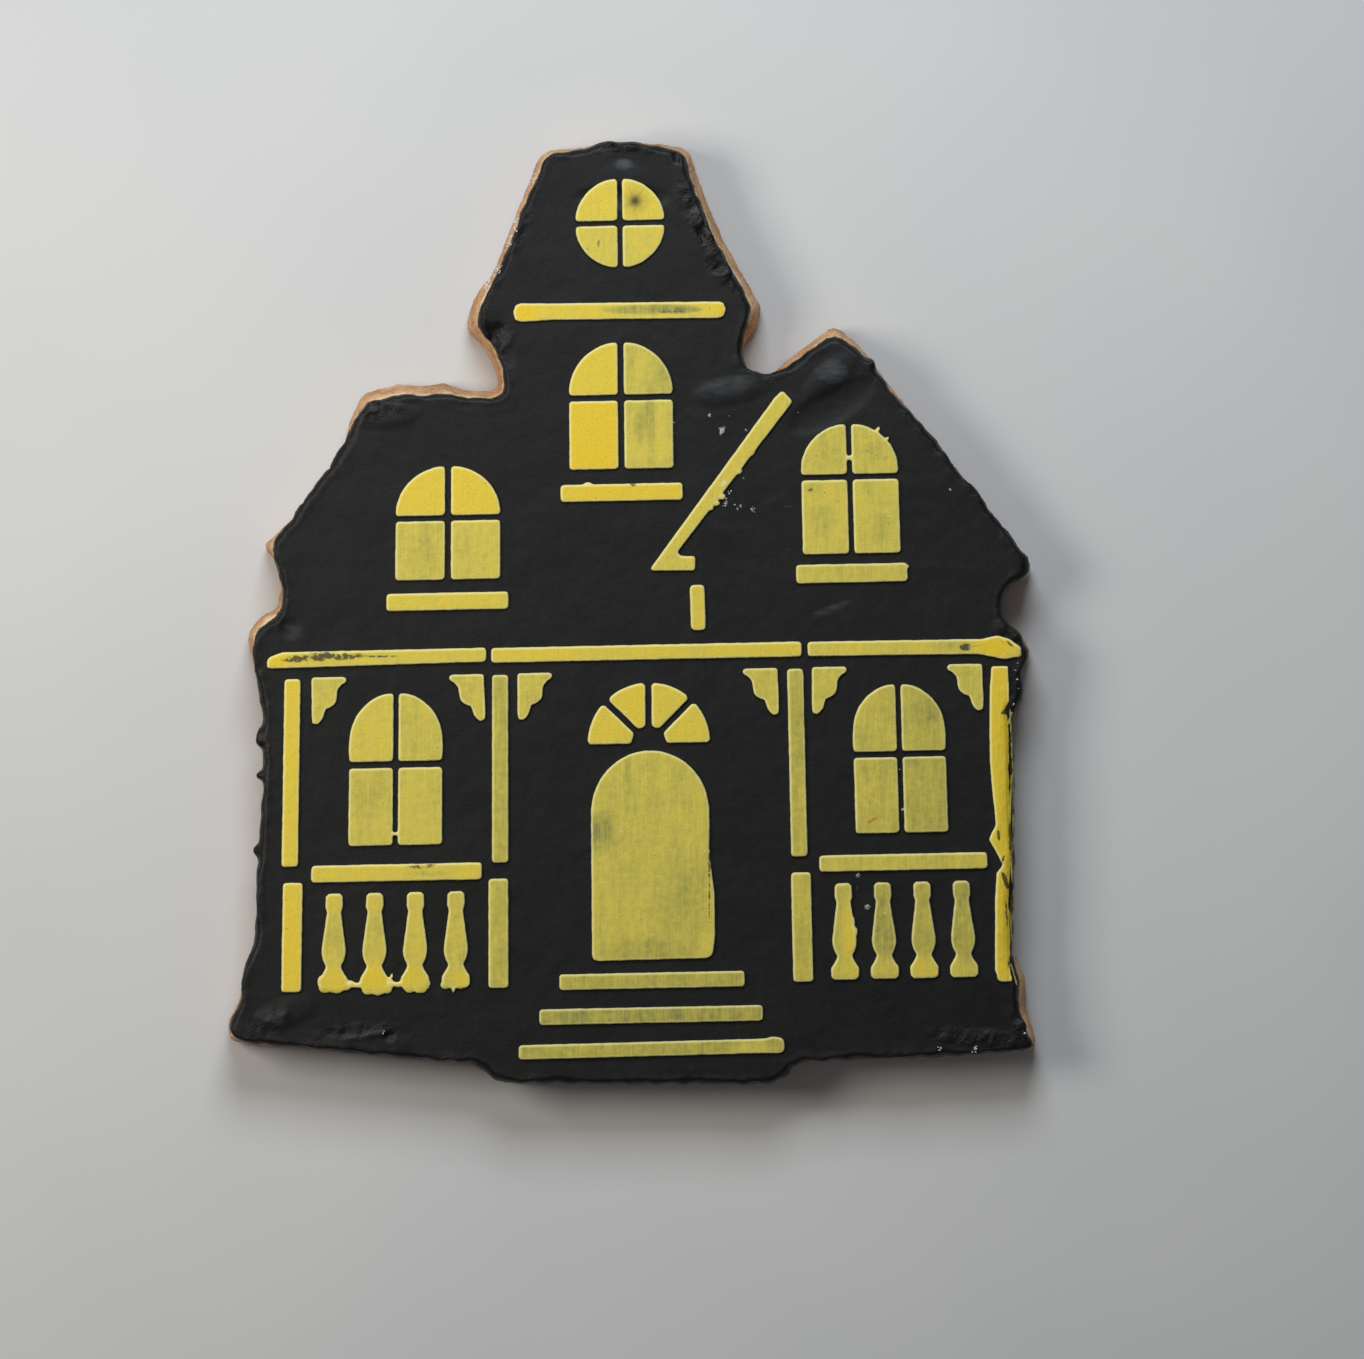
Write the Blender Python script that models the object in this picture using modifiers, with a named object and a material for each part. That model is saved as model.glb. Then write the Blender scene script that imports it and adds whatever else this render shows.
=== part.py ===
"""A cut-out sugar cookie in the shape of an old house.

A golden biscuit carries a coat of black icing, and the house's windows, door, porch posts and steps
lie on the black as thin pieces of yellow icing that were scraped on through a stencil.

The cookie lies flat. The origin is the middle of its underside, +Z is up, and +Y points to the tower's top.
"""

import math

import bmesh
import bpy
from mathutils import Vector, noise

MM = 0.001

# Layers, in millimetres. Touching layers keep a hairline gap.
BISCUIT_THICKNESS = 6.2
ICING_THICKNESS = 1.6
STENCIL_THICKNESS = 0.5
LAYER_GAP = 0.3
ICING_BASE = BISCUIT_THICKNESS + LAYER_GAP
ICING_TOP = ICING_BASE + ICING_THICKNESS
STENCIL_BASE = ICING_TOP + LAYER_GAP

# The outline, clockwise from the tower's top left corner, in millimetres.
# Each stretch: how far the baked edge flares out past the biscuit's upper rim, how wide a rim the black
# icing leaves bare (negative where the icing runs over the edge), and its corners as x, y and rounding.
OUTLINE = (
    ("tower top left", 0.4, 0.5, ((-11.0, 55.7, 1.6),)),
    ("tower top", 0.4, -0.3, ((-4.6, 56.3, 1.0), (-3.6, 56.8, 1.0), (1.3, 56.7, 1.0))),
    ("tower top right", 0.5, 0.3, ((6.8, 56.0, 1.3),)),
    ("tower roof right", 0.6, 0.35, ((8.6, 50.7, 5.0), (11.0, 44.9, 6.0), (14.6, 38.7, 2.0))),
    ("tower eave right", 0.6, 0.6, ((15.7, 36.5, 1.3), (14.8, 34.0, 1.0))),
    ("valley", 0.3, -0.25, ((13.4, 32.6, 1.5), (13.3, 29.5, 1.0), (15.6, 28.8, 2.5), (17.5, 29.1, 0.8))),
    ("gable left slope", 0.5, 0.35, ((18.0, 30.1, 1.0), (24.2, 34.7, 0.9))),
    ("gable right slope", 0.3, 0.1, ((27.6, 31.9, 6.0), (44.1, 11.1, 10.0))),
    ("right eave", 0.3, 0.0, ((48.2, 5.6, 0.9), (47.5, 4.0, 0.8))),
    ("right notch", 0.4, -0.3, ((45.8, 3.4, 1.5), (44.5, 1.2, 2.0), (44.6, -0.4, 1.5), (47.0, -2.7, 1.5))),
    ("right porch beam", 0.3, 0.1, ((48.2, -5.0, 0.8),)),
    ("right wall", 0.4, -0.35, (
        (47.1, -7.1, 2.0), (47.1, -10.1, 1.5), (45.9, -12.2, 2.0), (46.0, -29.7, 10.0), (45.8, -40.5, 1.5),
    )),
    ("right foot", 0.7, 0.4, ((47.5, -44.6, 2.0), (47.6, -48.2, 2.0))),
    ("bottom right corner", 0.3, 0.0, ((49.2, -52.9, 1.3),)),
    ("doorstep", 0.4, -0.35, (
        (39.3, -53.5, 8.0), (19.5, -54.2, 1.5), (18.0, -56.8, 2.0), (0.9, -56.9, 20.0),
        (-16.2, -56.7, 2.5), (-18.8, -54.4, 2.5), (-27.9, -53.7, 10.0),
    )),
    ("bottom left corner", 0.4, -0.05, ((-48.9, -51.9, 0.9), (-48.8, -49.4, 1.5))),
    ("left wall", 0.3, -0.2, (
        (-47.2, -46.5, 2.0), (-47.0, -42.9, 2.0), (-45.4, -39.1, 3.0), (-45.4, -32.7, 10.0),
        (-44.6, -20.7, 10.0), (-44.6, -11.9, 2.0), (-46.0, -5.1, 1.0),
    )),
    ("left porch beam", 0.5, 0.55, ((-46.8, -3.3, 2.0), (-45.2, -0.5, 3.0), (-43.1, 0.4, 1.0))),
    ("left notch", 0.35, -0.25, ((-42.3, 3.5, 3.0), (-43.5, 7.0, 1.0))),
    ("left eave", 0.4, 0.3, ((-44.7, 7.6, 0.6), (-44.0, 8.7, 0.6))),
    ("left roof slope", 0.25, 0.1, ((-41.3, 11.2, 5.0), (-36.8, 17.0, 5.0), (-34.8, 20.2, 2.0))),
    ("left roof corner", 0.8, 0.3, ((-33.6, 24.9, 4.0), (-32.2, 26.6, 1.2))),
    ("left roof ridge", 1.0, 0.35, ((-29.3, 27.3, 2.0), (-27.4, 27.9, 2.0), (-25.2, 27.3, 1.5), (-23.1, 27.7, 2.0))),
    ("tower foot", 0.5, 0.4, ((-20.4, 26.9, 2.0), (-16.1, 26.6, 0.7), (-17.0, 30.3, 1.0))),
    ("tower waist", 0.9, 0.3, ((-18.3, 32.1, 1.0), (-20.2, 34.1, 1.0))),
    ("tower eave left", 0.7, 0.5, ((-19.7, 36.5, 1.5), (-18.4, 39.3, 1.0))),
    ("tower roof left", 0.35, 0.3, ((-17.4, 40.0, 0.6), (-15.3, 44.9, 6.0), (-12.8, 51.3, 6.0))),
)
LONGEST_STEP = 3.2  # between two points of the outline
LARGEST_TURN = math.radians(50)  # between two points of a rounded corner
LARGEST_MOVE = 0.1  # when an outline is moved in
ROOMY_STEP = 0.85  # points nearer together than this are parted as the outline moves in
PARTING = 0.7  # how strongly
SMOOTHING_PASSES = 3  # how gently the flare and the bare rim change from one stretch to the next
EDGE_WOBBLE = 0.14  # unevenness of the baked edge

# Levels of the biscuit's side: height, inset, and the share of the flare taken back by then.
BISCUIT_LEVELS = (
    (0.0, 0.9, 0.0),
    (0.5, 0.25, 0.0),
    (1.7, 0.0, 0.0),
    (5.0, 0.1, 0.8),
    (5.9, 0.3, 1.0),
    (BISCUIT_THICKNESS, 0.9, 1.0),
)
# Levels of the icing's pillowed edge: height above its base, and inset from its own edge.
ICING_LEVELS = ((0.4, 0.0), (1.0, 0.3), (1.42, 0.95), (ICING_THICKNESS, 2.1))
ICING_LIP_INSET = 0.12
ICING_UNDERSIDE_INSET = 1.5
ICING_DRAPE = 1.5  # how far the icing hangs down for each millimetre that it runs over the edge

# Torn lumps of black icing: x, y, length, width, height of their tops over the icing's top, and heading.
LUMPS = (
    (-44.6, -15.2, 2.6, 1.0, -0.5, 90),
    (-44.6, -19.6, 1.6, 1.1, -0.6, 15),
    (-45.1, -28.6, 1.3, 1.1, -0.7, 80),
    (28.7, 30.0, 1.5, 1.0, -0.6, -50),
    (45.4, -2.9, 2.8, 1.2, -0.3, -40),
    (9.3, 45.4, 2.0, 0.8, 0.2, -65),
    (10.2, 42.4, 2.4, 0.9, 0.25, -55),
    (11.3, 40.6, 2.2, 0.8, 0.2, 10),
    (-31.0, 25.0, 2.2, 0.9, 0.15, 30),
    (-35.0, -50.4, 3.4, 1.0, 0.2, 10),
    (-30.6, -50.7, 4.0, 1.0, 0.25, 5),
    (38.0, -51.3, 3.6, 1.0, 0.2, 5),
    (43.0, -50.9, 3.0, 1.1, 0.25, -10),
    (46.6, -51.2, 1.8, 1.2, 0.1, 50),
)
LUMP_DEPTH = 1.4
LUMP_SIDES = 8
LUMP_RINGS = 5

# The dent in the icing beside the tower's waist, a shallow bowl.
DENT_AT = (-16.3, 33.0)
DENT_SIZE = (3.2, 4.2)
DENT_DEPTH = 0.8
DENT_SIDES = 12
DENT_RINGS = 7

# The stencil: where its own origin lies, its turn, and the lean of its uprights, which changes across it.
STENCIL_AT = (0.25, 0.04)
STENCIL_TURN = math.radians(1.2)
UPRIGHT_LEAN = math.radians(0.62)
UPRIGHT_LEAN_PER_MM = math.radians(0.0358)
STENCIL_BEVEL = 0.12
CORNER_ROUND = 0.4
CORNER_SEGMENTS = 2
ARCH_SEGMENTS = 5

# The round attic window.
ATTIC_CENTRE = (-1.27, 46.65)
ATTIC_RADII = (5.6, 5.4)
ATTIC_BAR = 0.6

# Windows: centre line, half width, mullion; then heights of the arch's foot, springing and crown, and of the
# panes' foot and top.
TOWER_WINDOW = (-1.37, 6.33, 0.72, (26.05, 26.4, 32.42), (17.15, 25.36))
LEFT_GABLE_WINDOW = (-22.42, 6.33, 0.72, (12.02, 12.3, 18.0), (4.3, 11.37))
RIGHT_GABLE_WINDOW = (26.27, 5.9, 0.62, (15.95, 16.5, 22.05), (6.42, 15.3))
LEFT_PORCH_WINDOW = (-28.53, 5.54, 0.6, (-17.37, -14.9, -9.1), (-27.45, -18.14))
RIGHT_PORCH_WINDOW = (31.3, 5.48, 0.6, (-17.4, -14.9, -9.27), (-27.2, -18.1))

# Lying bars: left end, right end, lower side and upper side.
BARS = {
    "tower_sill": (-8.8, 6.0, 13.3, 15.38),
    "left_gable_sill": (-29.8, -15.1, 0.65, 2.75),
    "right_gable_sill": (19.5, 32.9, 2.95, 5.2),
    "porch_beam_centre": (-17.2, 19.95, -5.8, -4.0),
    "porch_rail_left": (-38.4, -18.3, -31.75, -29.7),
    "porch_rail_right": (21.45, 41.25, -31.7, -29.72),
    "step_top": (-9.25, 12.4, -45.25, -43.35),
    "step_middle": (-11.6, 14.45, -49.4, -47.5),
}
# Bars whose ends came out thick or smeared: corners as across, up and rounding.
UNEVEN_BARS = {
    "tower_cornice": (
        (-14.5, 35.0, 1.1), (-14.5, 37.3, 1.1), (-10.0, 37.2, 3.0), (11.6, 37.0, 0.9), (11.6, 35.0, 0.9),
        (-9.5, 35.2, 3.0),
    ),
    "porch_beam_left": (
        (-44.2, -5.95, 0.9), (-43.9, -4.6, 0.9), (-42.2, -4.0, 1.5), (-17.8, -3.95, 0.4), (-17.8, -5.65, 0.4),
        (-40.0, -5.9, 3.0),
    ),
    "porch_beam_right": (
        (20.65, -5.8, 0.4), (20.65, -4.05, 0.4), (41.5, -4.15, 2.0), (43.4, -3.75, 1.0), (44.8, -4.2, 0.6),
        (46.2, -5.25, 0.4), (46.1, -6.35, 0.3), (44.1, -6.65, 1.0), (41.0, -5.95, 2.0),
    ),
    "step_bottom": (
        (-14.0, -53.5, 0.4), (-14.0, -51.75, 0.4), (14.6, -51.55, 0.6), (15.4, -51.35, 0.4), (16.9, -51.5, 0.7),
        (16.9, -53.4, 0.7), (14.8, -53.3, 0.6),
    ),
    "roof_brace": (
        (1.74, 4.85, 0.35), (17.35, 25.3, 0.4), (18.35, 26.2, 0.4), (19.6, 24.8, 0.4), (5.2, 6.95, 0.3),
        (5.8, 6.55, 0.2), (7.42, 6.51, 0.35), (7.34, 4.77, 0.35),
    ),
    "roof_stub": ((6.75, -2.4, 0.5), (6.65, 3.05, 0.5), (8.45, 3.05, 0.5), (8.55, -2.4, 0.5)),
}
# The porch posts: foot, top, width, and their lines. The lower ones stand a little off the upper ones.
UPPER_POSTS = (-29.8, -7.25, 1.95, {"left_outer": -40.93, "left_inner": -16.13, "right_inner": 19.12})
LOWER_POSTS = (-44.85, -31.7, 2.35, {"left_outer": -40.55, "left_inner": -16.35, "right_inner": 19.25})

# The stepped brackets under the porch beams: the side by the post, and the way each one reaches.
BRACKETS = ((-39.0, 1), (-18.15, -1), (-14.3, 1), (17.1, -1), (21.05, 1), (41.65, -1))
BRACKET_TOP = -7.2
BRACKET_CORNERS = (
    (0.0, 0.0, 0.35), (4.25, 0.0, 0.3), (2.95, -1.3, 0.4), (2.95, -3.3, 0.3), (1.4, -3.75, 0.5),
    (0.75, -5.7, 0.35), (0.0, -5.7, 0.35),
)
BRACKET_SINK = 0.5  # how deep a bracket reaches into the black icing that it is one with

# A baluster's half widths from its top down, as depth, half width and rounding.
BALUSTER_PROFILE = (
    (0.0, 1.0, 0.35), (1.7, 1.03, 0.0), (2.3, 0.83, 0.0), (6.7, 1.42, 0.8), (7.8, 1.3, 0.0),
    (8.8, 0.85, 0.4), (9.5, 1.2, 0.0), (10.2, 1.66, 0.5), (11.6, 1.62, 0.35),
)
BALUSTER_TOP = -33.1
BALUSTERS_A_SIDE = 4
LEFT_BALUSTERS = (-35.65, 4.77)  # the first one's line and the pitch
RIGHT_BALUSTERS = (33.43 - 2 * 4.63, 4.63)
BALUSTERS_JOINED = 3
WEB_DEPTH = (10.75, 11.3)  # of the threads of icing between joined feet, below the baluster's top
THREAD_OVERLAP = 0.6  # how far a joining thread reaches into each of its pieces

FANLIGHT_CENTRE = (1.55, -15.85)
FANLIGHT_RADII = (2.1, 7.3)
FANLIGHT_BAR = 0.72
FANLIGHT_WEDGES = 4

# The front door, whose right side ran out a little under the stencil.
DOOR_SIDES = (-5.4, 8.6)
DOOR_BULGE = 0.45
DOOR_HEIGHTS = (-41.85, -24.1, -16.7)  # foot, springing and crown

# The post that ran out over the right edge: y, its left side and its right side.
SPILT_POST = (
    (-6.5, 43.1, 45.2), (-9.3, 42.9, 45.3), (-12.3, 42.9, 45.4), (-18.0, 43.0, 45.5), (-23.0, 43.1, 45.5),
    (-25.8, 43.3, 45.5), (-27.4, 43.0, 45.5), (-30.4, 44.4, 45.5), (-31.3, 43.7, 45.5), (-34.5, 43.5, 45.5),
    (-40.0, 43.5, 45.4), (-43.0, 43.5, 45.4), (-44.4, 44.3, 45.6),
)
SPILT_POST_COLUMNS = 4

BLACK = (0.012, 0.012, 0.012)
GOLDEN = (0.40, 0.19, 0.075)
YELLOW = (0.60, 0.47, 0.085)
PALE_YELLOW = (0.40, 0.36, 0.12)


def coloured(name, colour, roughness):
    """A plain material for one sub-part."""
    made = bpy.data.materials.new(name)
    made.use_nodes = True
    shader = made.node_tree.nodes["Principled BSDF"]
    shader.inputs["Base Color"].default_value = (*colour, 1.0)
    shader.inputs["Roughness"].default_value = roughness
    shader.inputs["Metallic"].default_value = 0.0
    made.diffuse_color = (*colour, 1.0)
    return made


def yellow_icing(name, thinness):
    """Yellow icing, greyer where so little was scraped on that the black shows through."""
    colour = [thick + (thin - thick) * thinness for thick, thin in zip(YELLOW, PALE_YELLOW)]
    return coloured(name, colour, 0.6)


def turned(values, places):
    """A closed run of values, started this many places further on."""
    return values[places:] + values[:places]


def rounded(corners, segments=None):
    """The closed outline through corners of (x, y, rounding, ...), each drawn as an arc where it is rounded.

    What follows a corner's rounding is carried along with each of its points.
    """
    drawn = []
    for before, here, after in zip(turned(corners, -1), corners, turned(corners, 1)):
        x, y, rounding, *carried = here
        corner = Vector((x, y))
        back = Vector(before[:2]) - corner
        ahead = Vector(after[:2]) - corner
        turn = math.pi - back.angle(ahead)
        reach = min(rounding * math.tan(turn / 2), 0.48 * back.length, 0.48 * ahead.length)
        if reach < 0.01:
            drawn.append((x, y, *carried))
            continue
        start = corner + back.normalized() * reach
        end = corner + ahead.normalized() * reach
        steps = segments or max(1, round(turn / LARGEST_TURN))
        for step in range(steps + 1):
            share = step / steps
            # A quadratic curve that leans on the corner comes close to the arc.
            point = start * (1 - share) ** 2 + corner * 2 * share * (1 - share) + end * share ** 2
            drawn.append((point.x, point.y, *carried))
    return drawn


def stepped(points):
    """The same closed outline, with points added so that none of its sides is longer than LONGEST_STEP."""
    filled = []
    for here, after in zip(points, turned(points, 1)):
        steps = math.ceil(math.dist(here[:2], after[:2]) / LONGEST_STEP)
        for step in range(steps):
            share = step / steps
            filled.append(tuple(a + (b - a) * share for a, b in zip(here, after)))
    return filled


def smoothed(values):
    """Each value averaged with its neighbours round the outline, a few times over."""
    for _ in range(SMOOTHING_PASSES):
        values = [(a + 2 * b + c) / 4 for a, b, c in zip(turned(values, -1), values, turned(values, 1))]
    return values


def outward(points):
    """Unit vectors out of a clockwise outline, one at each point."""
    alongs = [(after - before).normalized() for before, after in zip(turned(points, -1), turned(points, 1))]
    return [Vector((-along.y, along.x)) for along in alongs]


def inset(points, depths):
    """The outline moved in by a depth at each point, in small moves that part points before they cross."""
    moves = max(1, math.ceil(max(abs(depth) for depth in depths) / LARGEST_MOVE))
    for _ in range(moves):
        normals = outward(points)
        moved = [p - n * (depth / moves) for p, n, depth in zip(points, normals, depths)]
        points = []
        for before, here, after in zip(turned(moved, -1), moved, turned(moved, 1)):
            nearest = min((here - before).length, (here - after).length)
            crowding = max(0.0, 1 - nearest / ROOMY_STEP)
            points.append(here + ((before + after) / 2 - here) * crowding * PARTING)
    return points


def cookie_outline():
    """The baked outline, with the flare and the bare rim at each of its points."""
    corners = []
    for _, flare, bare_rim, stretch in OUTLINE:
        corners += [(x, y, rounding, flare, bare_rim) for x, y, rounding in stretch]
    filled = stepped(rounded(corners))
    points = [Vector(point[:2]) for point in filled]
    flares = smoothed([point[2] for point in filled])
    bare_rims = smoothed([point[3] for point in filled])
    wobbled = []
    for point, normal, flare in zip(points, outward(points), flares):
        coarse = noise.noise(Vector((point.x * 0.5, point.y * 0.5, 3.0)))
        fine = noise.noise(Vector((point.x * 1.7, point.y * 1.7, 8.0)))
        wobbled.append(point + normal * (coarse + fine) * EDGE_WOBBLE * (0.6 + flare))
    return wobbled, flares, bare_rims


def middle_of(points):
    """The middle of the box round 2D points."""
    xs = [point.x for point in points]
    ys = [point.y for point in points]
    return Vector(((min(xs) + max(xs)) / 2, (min(ys) + max(ys)) / 2))


def loft(name, rings, material, collection):
    """A solid through clockwise rings of (x, y, z) points, bottom to top, closed by a flat face at each end."""
    mesh = bpy.data.meshes.new(name)
    shape = bmesh.new()
    loops = [[shape.verts.new(Vector(point) * MM) for point in ring] for ring in rings]
    for lower, upper in zip(loops, loops[1:]):
        for a, b, c, d in zip(lower, upper, turned(upper, 1), turned(lower, 1)):
            shape.faces.new((a, b, c, d))
    shape.faces.new(loops[0])
    shape.faces.new(reversed(loops[-1]))
    shape.to_mesh(mesh)
    shape.free()
    mesh.materials.append(material)
    mesh.shade_smooth()
    mesh.set_sharp_from_angle(angle=math.radians(40))
    made = bpy.data.objects.new(name, mesh)
    collection.objects.link(made)
    return made


def biscuit(outline, collection):
    """The baked body: flat below, bulged near its foot, and rounded over into its top."""
    points, flares, _ = outline
    rings = []
    for height, depth, share in BISCUIT_LEVELS:
        ring = inset(points, [depth + flare * share for flare in flares])
        rings.append([(p.x, p.y, height) for p in ring])
    return loft("biscuit", rings, coloured("biscuit_golden", GOLDEN, 0.8), collection)


def black_coat(outline, collection):
    """The black coat, with a pillowed edge that hangs down where it ran over the biscuit's rim."""
    points, flares, bare_rims = outline
    edge = inset(points, [flare + rim for flare, rim in zip(flares, bare_rims)])
    drapes = [max(0.0, -rim) * ICING_DRAPE for rim in bare_rims]
    # Where the coat runs over the edge, its underside starts further in, clear of the biscuit's shoulder.
    underside = inset(edge, [ICING_UNDERSIDE_INSET + drape * 0.3 for drape in drapes])
    rings = [[(p.x, p.y, ICING_BASE) for p in underside]]
    for height, depth in ((0.05, ICING_LIP_INSET), *ICING_LEVELS):
        hang = (1 - height / ICING_THICKNESS) ** 2
        ring = inset(edge, [depth] * len(edge))
        rings.append([(p.x, p.y, ICING_BASE + height - drape * hang) for p, drape in zip(ring, drapes)])
    return loft("black_icing", rings, coloured("black_royal_icing", BLACK, 0.42), collection), edge


def ball(name, place, size, sides, ring_count, collection):
    """A ball stretched to a size, for a lump or a dent."""
    bpy.ops.mesh.primitive_uv_sphere_add(segments=sides, ring_count=ring_count, radius=MM / 2)
    made = bpy.context.object
    made.name = name
    made.location = Vector(place) * MM
    made.scale = size
    for holder in list(made.users_collection):
        holder.objects.unlink(made)
    collection.objects.link(made)
    return made


def add_lumps(collection):
    """Torn lumps of black icing, each a flattened ball that reaches down into the coat."""
    for number, (x, y, length, width, height, heading) in enumerate(LUMPS):
        place = (x, y, ICING_TOP + height - LUMP_DEPTH / 2)
        made = ball(f"lump_{number}", place, (length, width, LUMP_DEPTH), LUMP_SIDES, LUMP_RINGS, collection)
        made.rotation_euler = (0.0, 0.0, math.radians(heading))


def cut_dent(coat, collection):
    """Presses the shallow bowl beside the tower's waist into the coat."""
    place = (*DENT_AT, ICING_TOP)
    bowl = ball("dent", place, (*DENT_SIZE, 2 * DENT_DEPTH), DENT_SIDES, DENT_RINGS, collection)
    apply_boolean(coat, collection, "DIFFERENCE")
    bpy.data.objects.remove(bowl)


def apply_boolean(base, others, operation):
    """Joins or cuts a mesh object with all the objects of a collection, and keeps the result in its mesh."""
    boolean = base.modifiers.new(operation.lower(), "BOOLEAN")
    boolean.operation = operation
    boolean.operand_type = "COLLECTION"
    boolean.collection = others
    bpy.context.view_layer.update()
    evaluated = base.evaluated_get(bpy.context.evaluated_depsgraph_get())
    result = bpy.data.meshes.new_from_object(evaluated)
    base.modifiers.clear()
    base.data = result


def as_mesh(curved):
    """The mesh object that takes the place of a filled curve, with its loose caps welded on."""
    bpy.context.view_layer.update()
    evaluated = curved.evaluated_get(bpy.context.evaluated_depsgraph_get())
    mesh = bpy.data.meshes.new_from_object(evaluated)
    shape = bmesh.new()
    shape.from_mesh(mesh)
    bmesh.ops.remove_doubles(shape, verts=shape.verts, dist=0.001 * MM)
    bmesh.ops.recalc_face_normals(shape, faces=shape.faces)
    shape.to_mesh(mesh)
    shape.free()
    made = bpy.data.objects.new(curved.name, mesh)
    made.matrix_world = curved.matrix_world
    for holder in curved.users_collection:
        holder.objects.link(made)
    name = curved.name
    bpy.data.objects.remove(curved)
    made.name = name
    return made


def fused(pieces, helpers):
    """The first piece with all the others joined to it by one union. The others are removed."""
    base, *others = [as_mesh(piece) if piece.type == "CURVE" else piece for piece in pieces]
    for other in others:
        for holder in list(other.users_collection):
            holder.objects.unlink(other)
        helpers.objects.link(other)
    apply_boolean(base, helpers, "UNION")
    for other in list(helpers.objects):
        bpy.data.objects.remove(other)
    return base


def on_cookie(across, up):
    """A point of the stencil's own upright drawing, as it lies on the cookie, in millimetres."""
    lean = UPRIGHT_LEAN + UPRIGHT_LEAN_PER_MM * across
    x = across * math.cos(STENCIL_TURN) - up * math.sin(lean)
    y = across * math.sin(STENCIL_TURN) + up * math.cos(lean)
    return Vector((x + STENCIL_AT[0], y + STENCIL_AT[1]))


def stencil_piece(name, outline, thinness, collection, sink=0.0):
    """A flat piece of yellow icing: a filled 2D curve with softened edges, placed at its own middle.

    Sink is how much further down it reaches than a piece that lies on the black icing.
    """
    placed = [on_cookie(*point) for point in outline]
    middle = middle_of(placed)
    thickness = STENCIL_THICKNESS + sink
    curve = bpy.data.curves.new(name, "CURVE")
    curve.dimensions = "2D"
    curve.fill_mode = "BOTH"
    curve.extrude = (thickness / 2 - STENCIL_BEVEL) * MM
    curve.bevel_depth = STENCIL_BEVEL * MM
    curve.offset = -STENCIL_BEVEL * MM
    curve.bevel_resolution = 0
    spline = curve.splines.new("POLY")
    spline.points.add(len(placed) - 1)
    for control, point in zip(spline.points, placed):
        control.co = (*((point - middle) * MM), 0.0, 1.0)
    spline.use_cyclic_u = True
    curve.materials.append(yellow_icing(f"{name}_yellow", thinness))
    made = bpy.data.objects.new(name, curve)
    made.location = Vector((middle.x, middle.y, STENCIL_BASE + STENCIL_THICKNESS - thickness / 2)) * MM
    collection.objects.link(made)
    return made


def bar_outline(left, right, foot, top):
    """An upright or lying bar with rounded corners."""
    corners = ((left, foot), (left, top), (right, top), (right, foot))
    return rounded([(*corner, CORNER_ROUND) for corner in corners], CORNER_SEGMENTS)


def arc(centre, radii, first, last, ends=(0.0, 0.0)):
    """Corners along an arc, from one angle to another, the two end ones rounded by ends."""
    corners = []
    for step in range(ARCH_SEGMENTS + 1):
        angle = first + (last - first) * step / ARCH_SEGMENTS
        rounding = {0: ends[0], ARCH_SEGMENTS: ends[1]}.get(step, 0.0)
        place = (centre[0] + radii[0] * math.cos(angle), centre[1] + radii[1] * math.sin(angle))
        corners.append((*place, rounding))
    return corners


def mirrored(corners, line):
    """Corners reflected in an upright line."""
    return [(2 * line - x, y, rounding) for x, y, rounding in corners]


def add_attic_window(collection):
    """Four quarters of a round window."""
    across, up = ATTIC_CENTRE
    half_bar = ATTIC_BAR / 2
    first = math.asin(half_bar / ATTIC_RADII[1])
    last = math.acos(half_bar / ATTIC_RADII[0])
    quarter = [(half_bar, half_bar, CORNER_ROUND), *arc((0, 0), ATTIC_RADII, first, last, (0.4, 0.4))]
    for level, rise, thinness in (("top", 1, 0.1), ("bottom", -1, 0.35)):
        for side, way in (("left", -1), ("right", 1)):
            corners = [(across + way * x, up + rise * y, rounding) for x, y, rounding in quarter]
            outline = rounded(corners, CORNER_SEGMENTS)
            stencil_piece(f"attic_pane_{level}_{side}", outline, thinness, collection)


def window(name, sizes, thinness, collection):
    """Two arched halves over two panes. Gives them back as left arch, right arch, left pane, right pane."""
    centre, half_width, mullion, (foot, springing, crown), panes = sizes
    inner = mullion / 2
    last = math.acos(inner / half_width)
    first = math.radians(4)
    right_arch = [
        (centre + inner, foot, CORNER_ROUND),
        (centre + half_width, foot, CORNER_ROUND),
        *arc((centre, springing), (half_width, crown - springing), first, last, (0.0, CORNER_ROUND)),
    ]
    made = []
    for side, corners in (("left", mirrored(right_arch, centre)), ("right", right_arch)):
        outline = rounded(corners, CORNER_SEGMENTS)
        made.append(stencil_piece(f"{name}_arch_{side}", outline, thinness, collection))
    for side, ends in (("left", (-half_width, -inner)), ("right", (inner, half_width))):
        outline = bar_outline(centre + ends[0], centre + ends[1], *panes)
        made.append(stencil_piece(f"{name}_pane_{side}", outline, thinness, collection))
    return made


def thread(left, right, foot, top, collection):
    """A thin thread of icing that joins two pieces, from inside the one to inside the other."""
    corners = ((left - THREAD_OVERLAP, foot), (left - THREAD_OVERLAP, top), (right + THREAD_OVERLAP, top),
               (right + THREAD_OVERLAP, foot))
    return stencil_piece("thread", corners, 0.3, collection)


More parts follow.
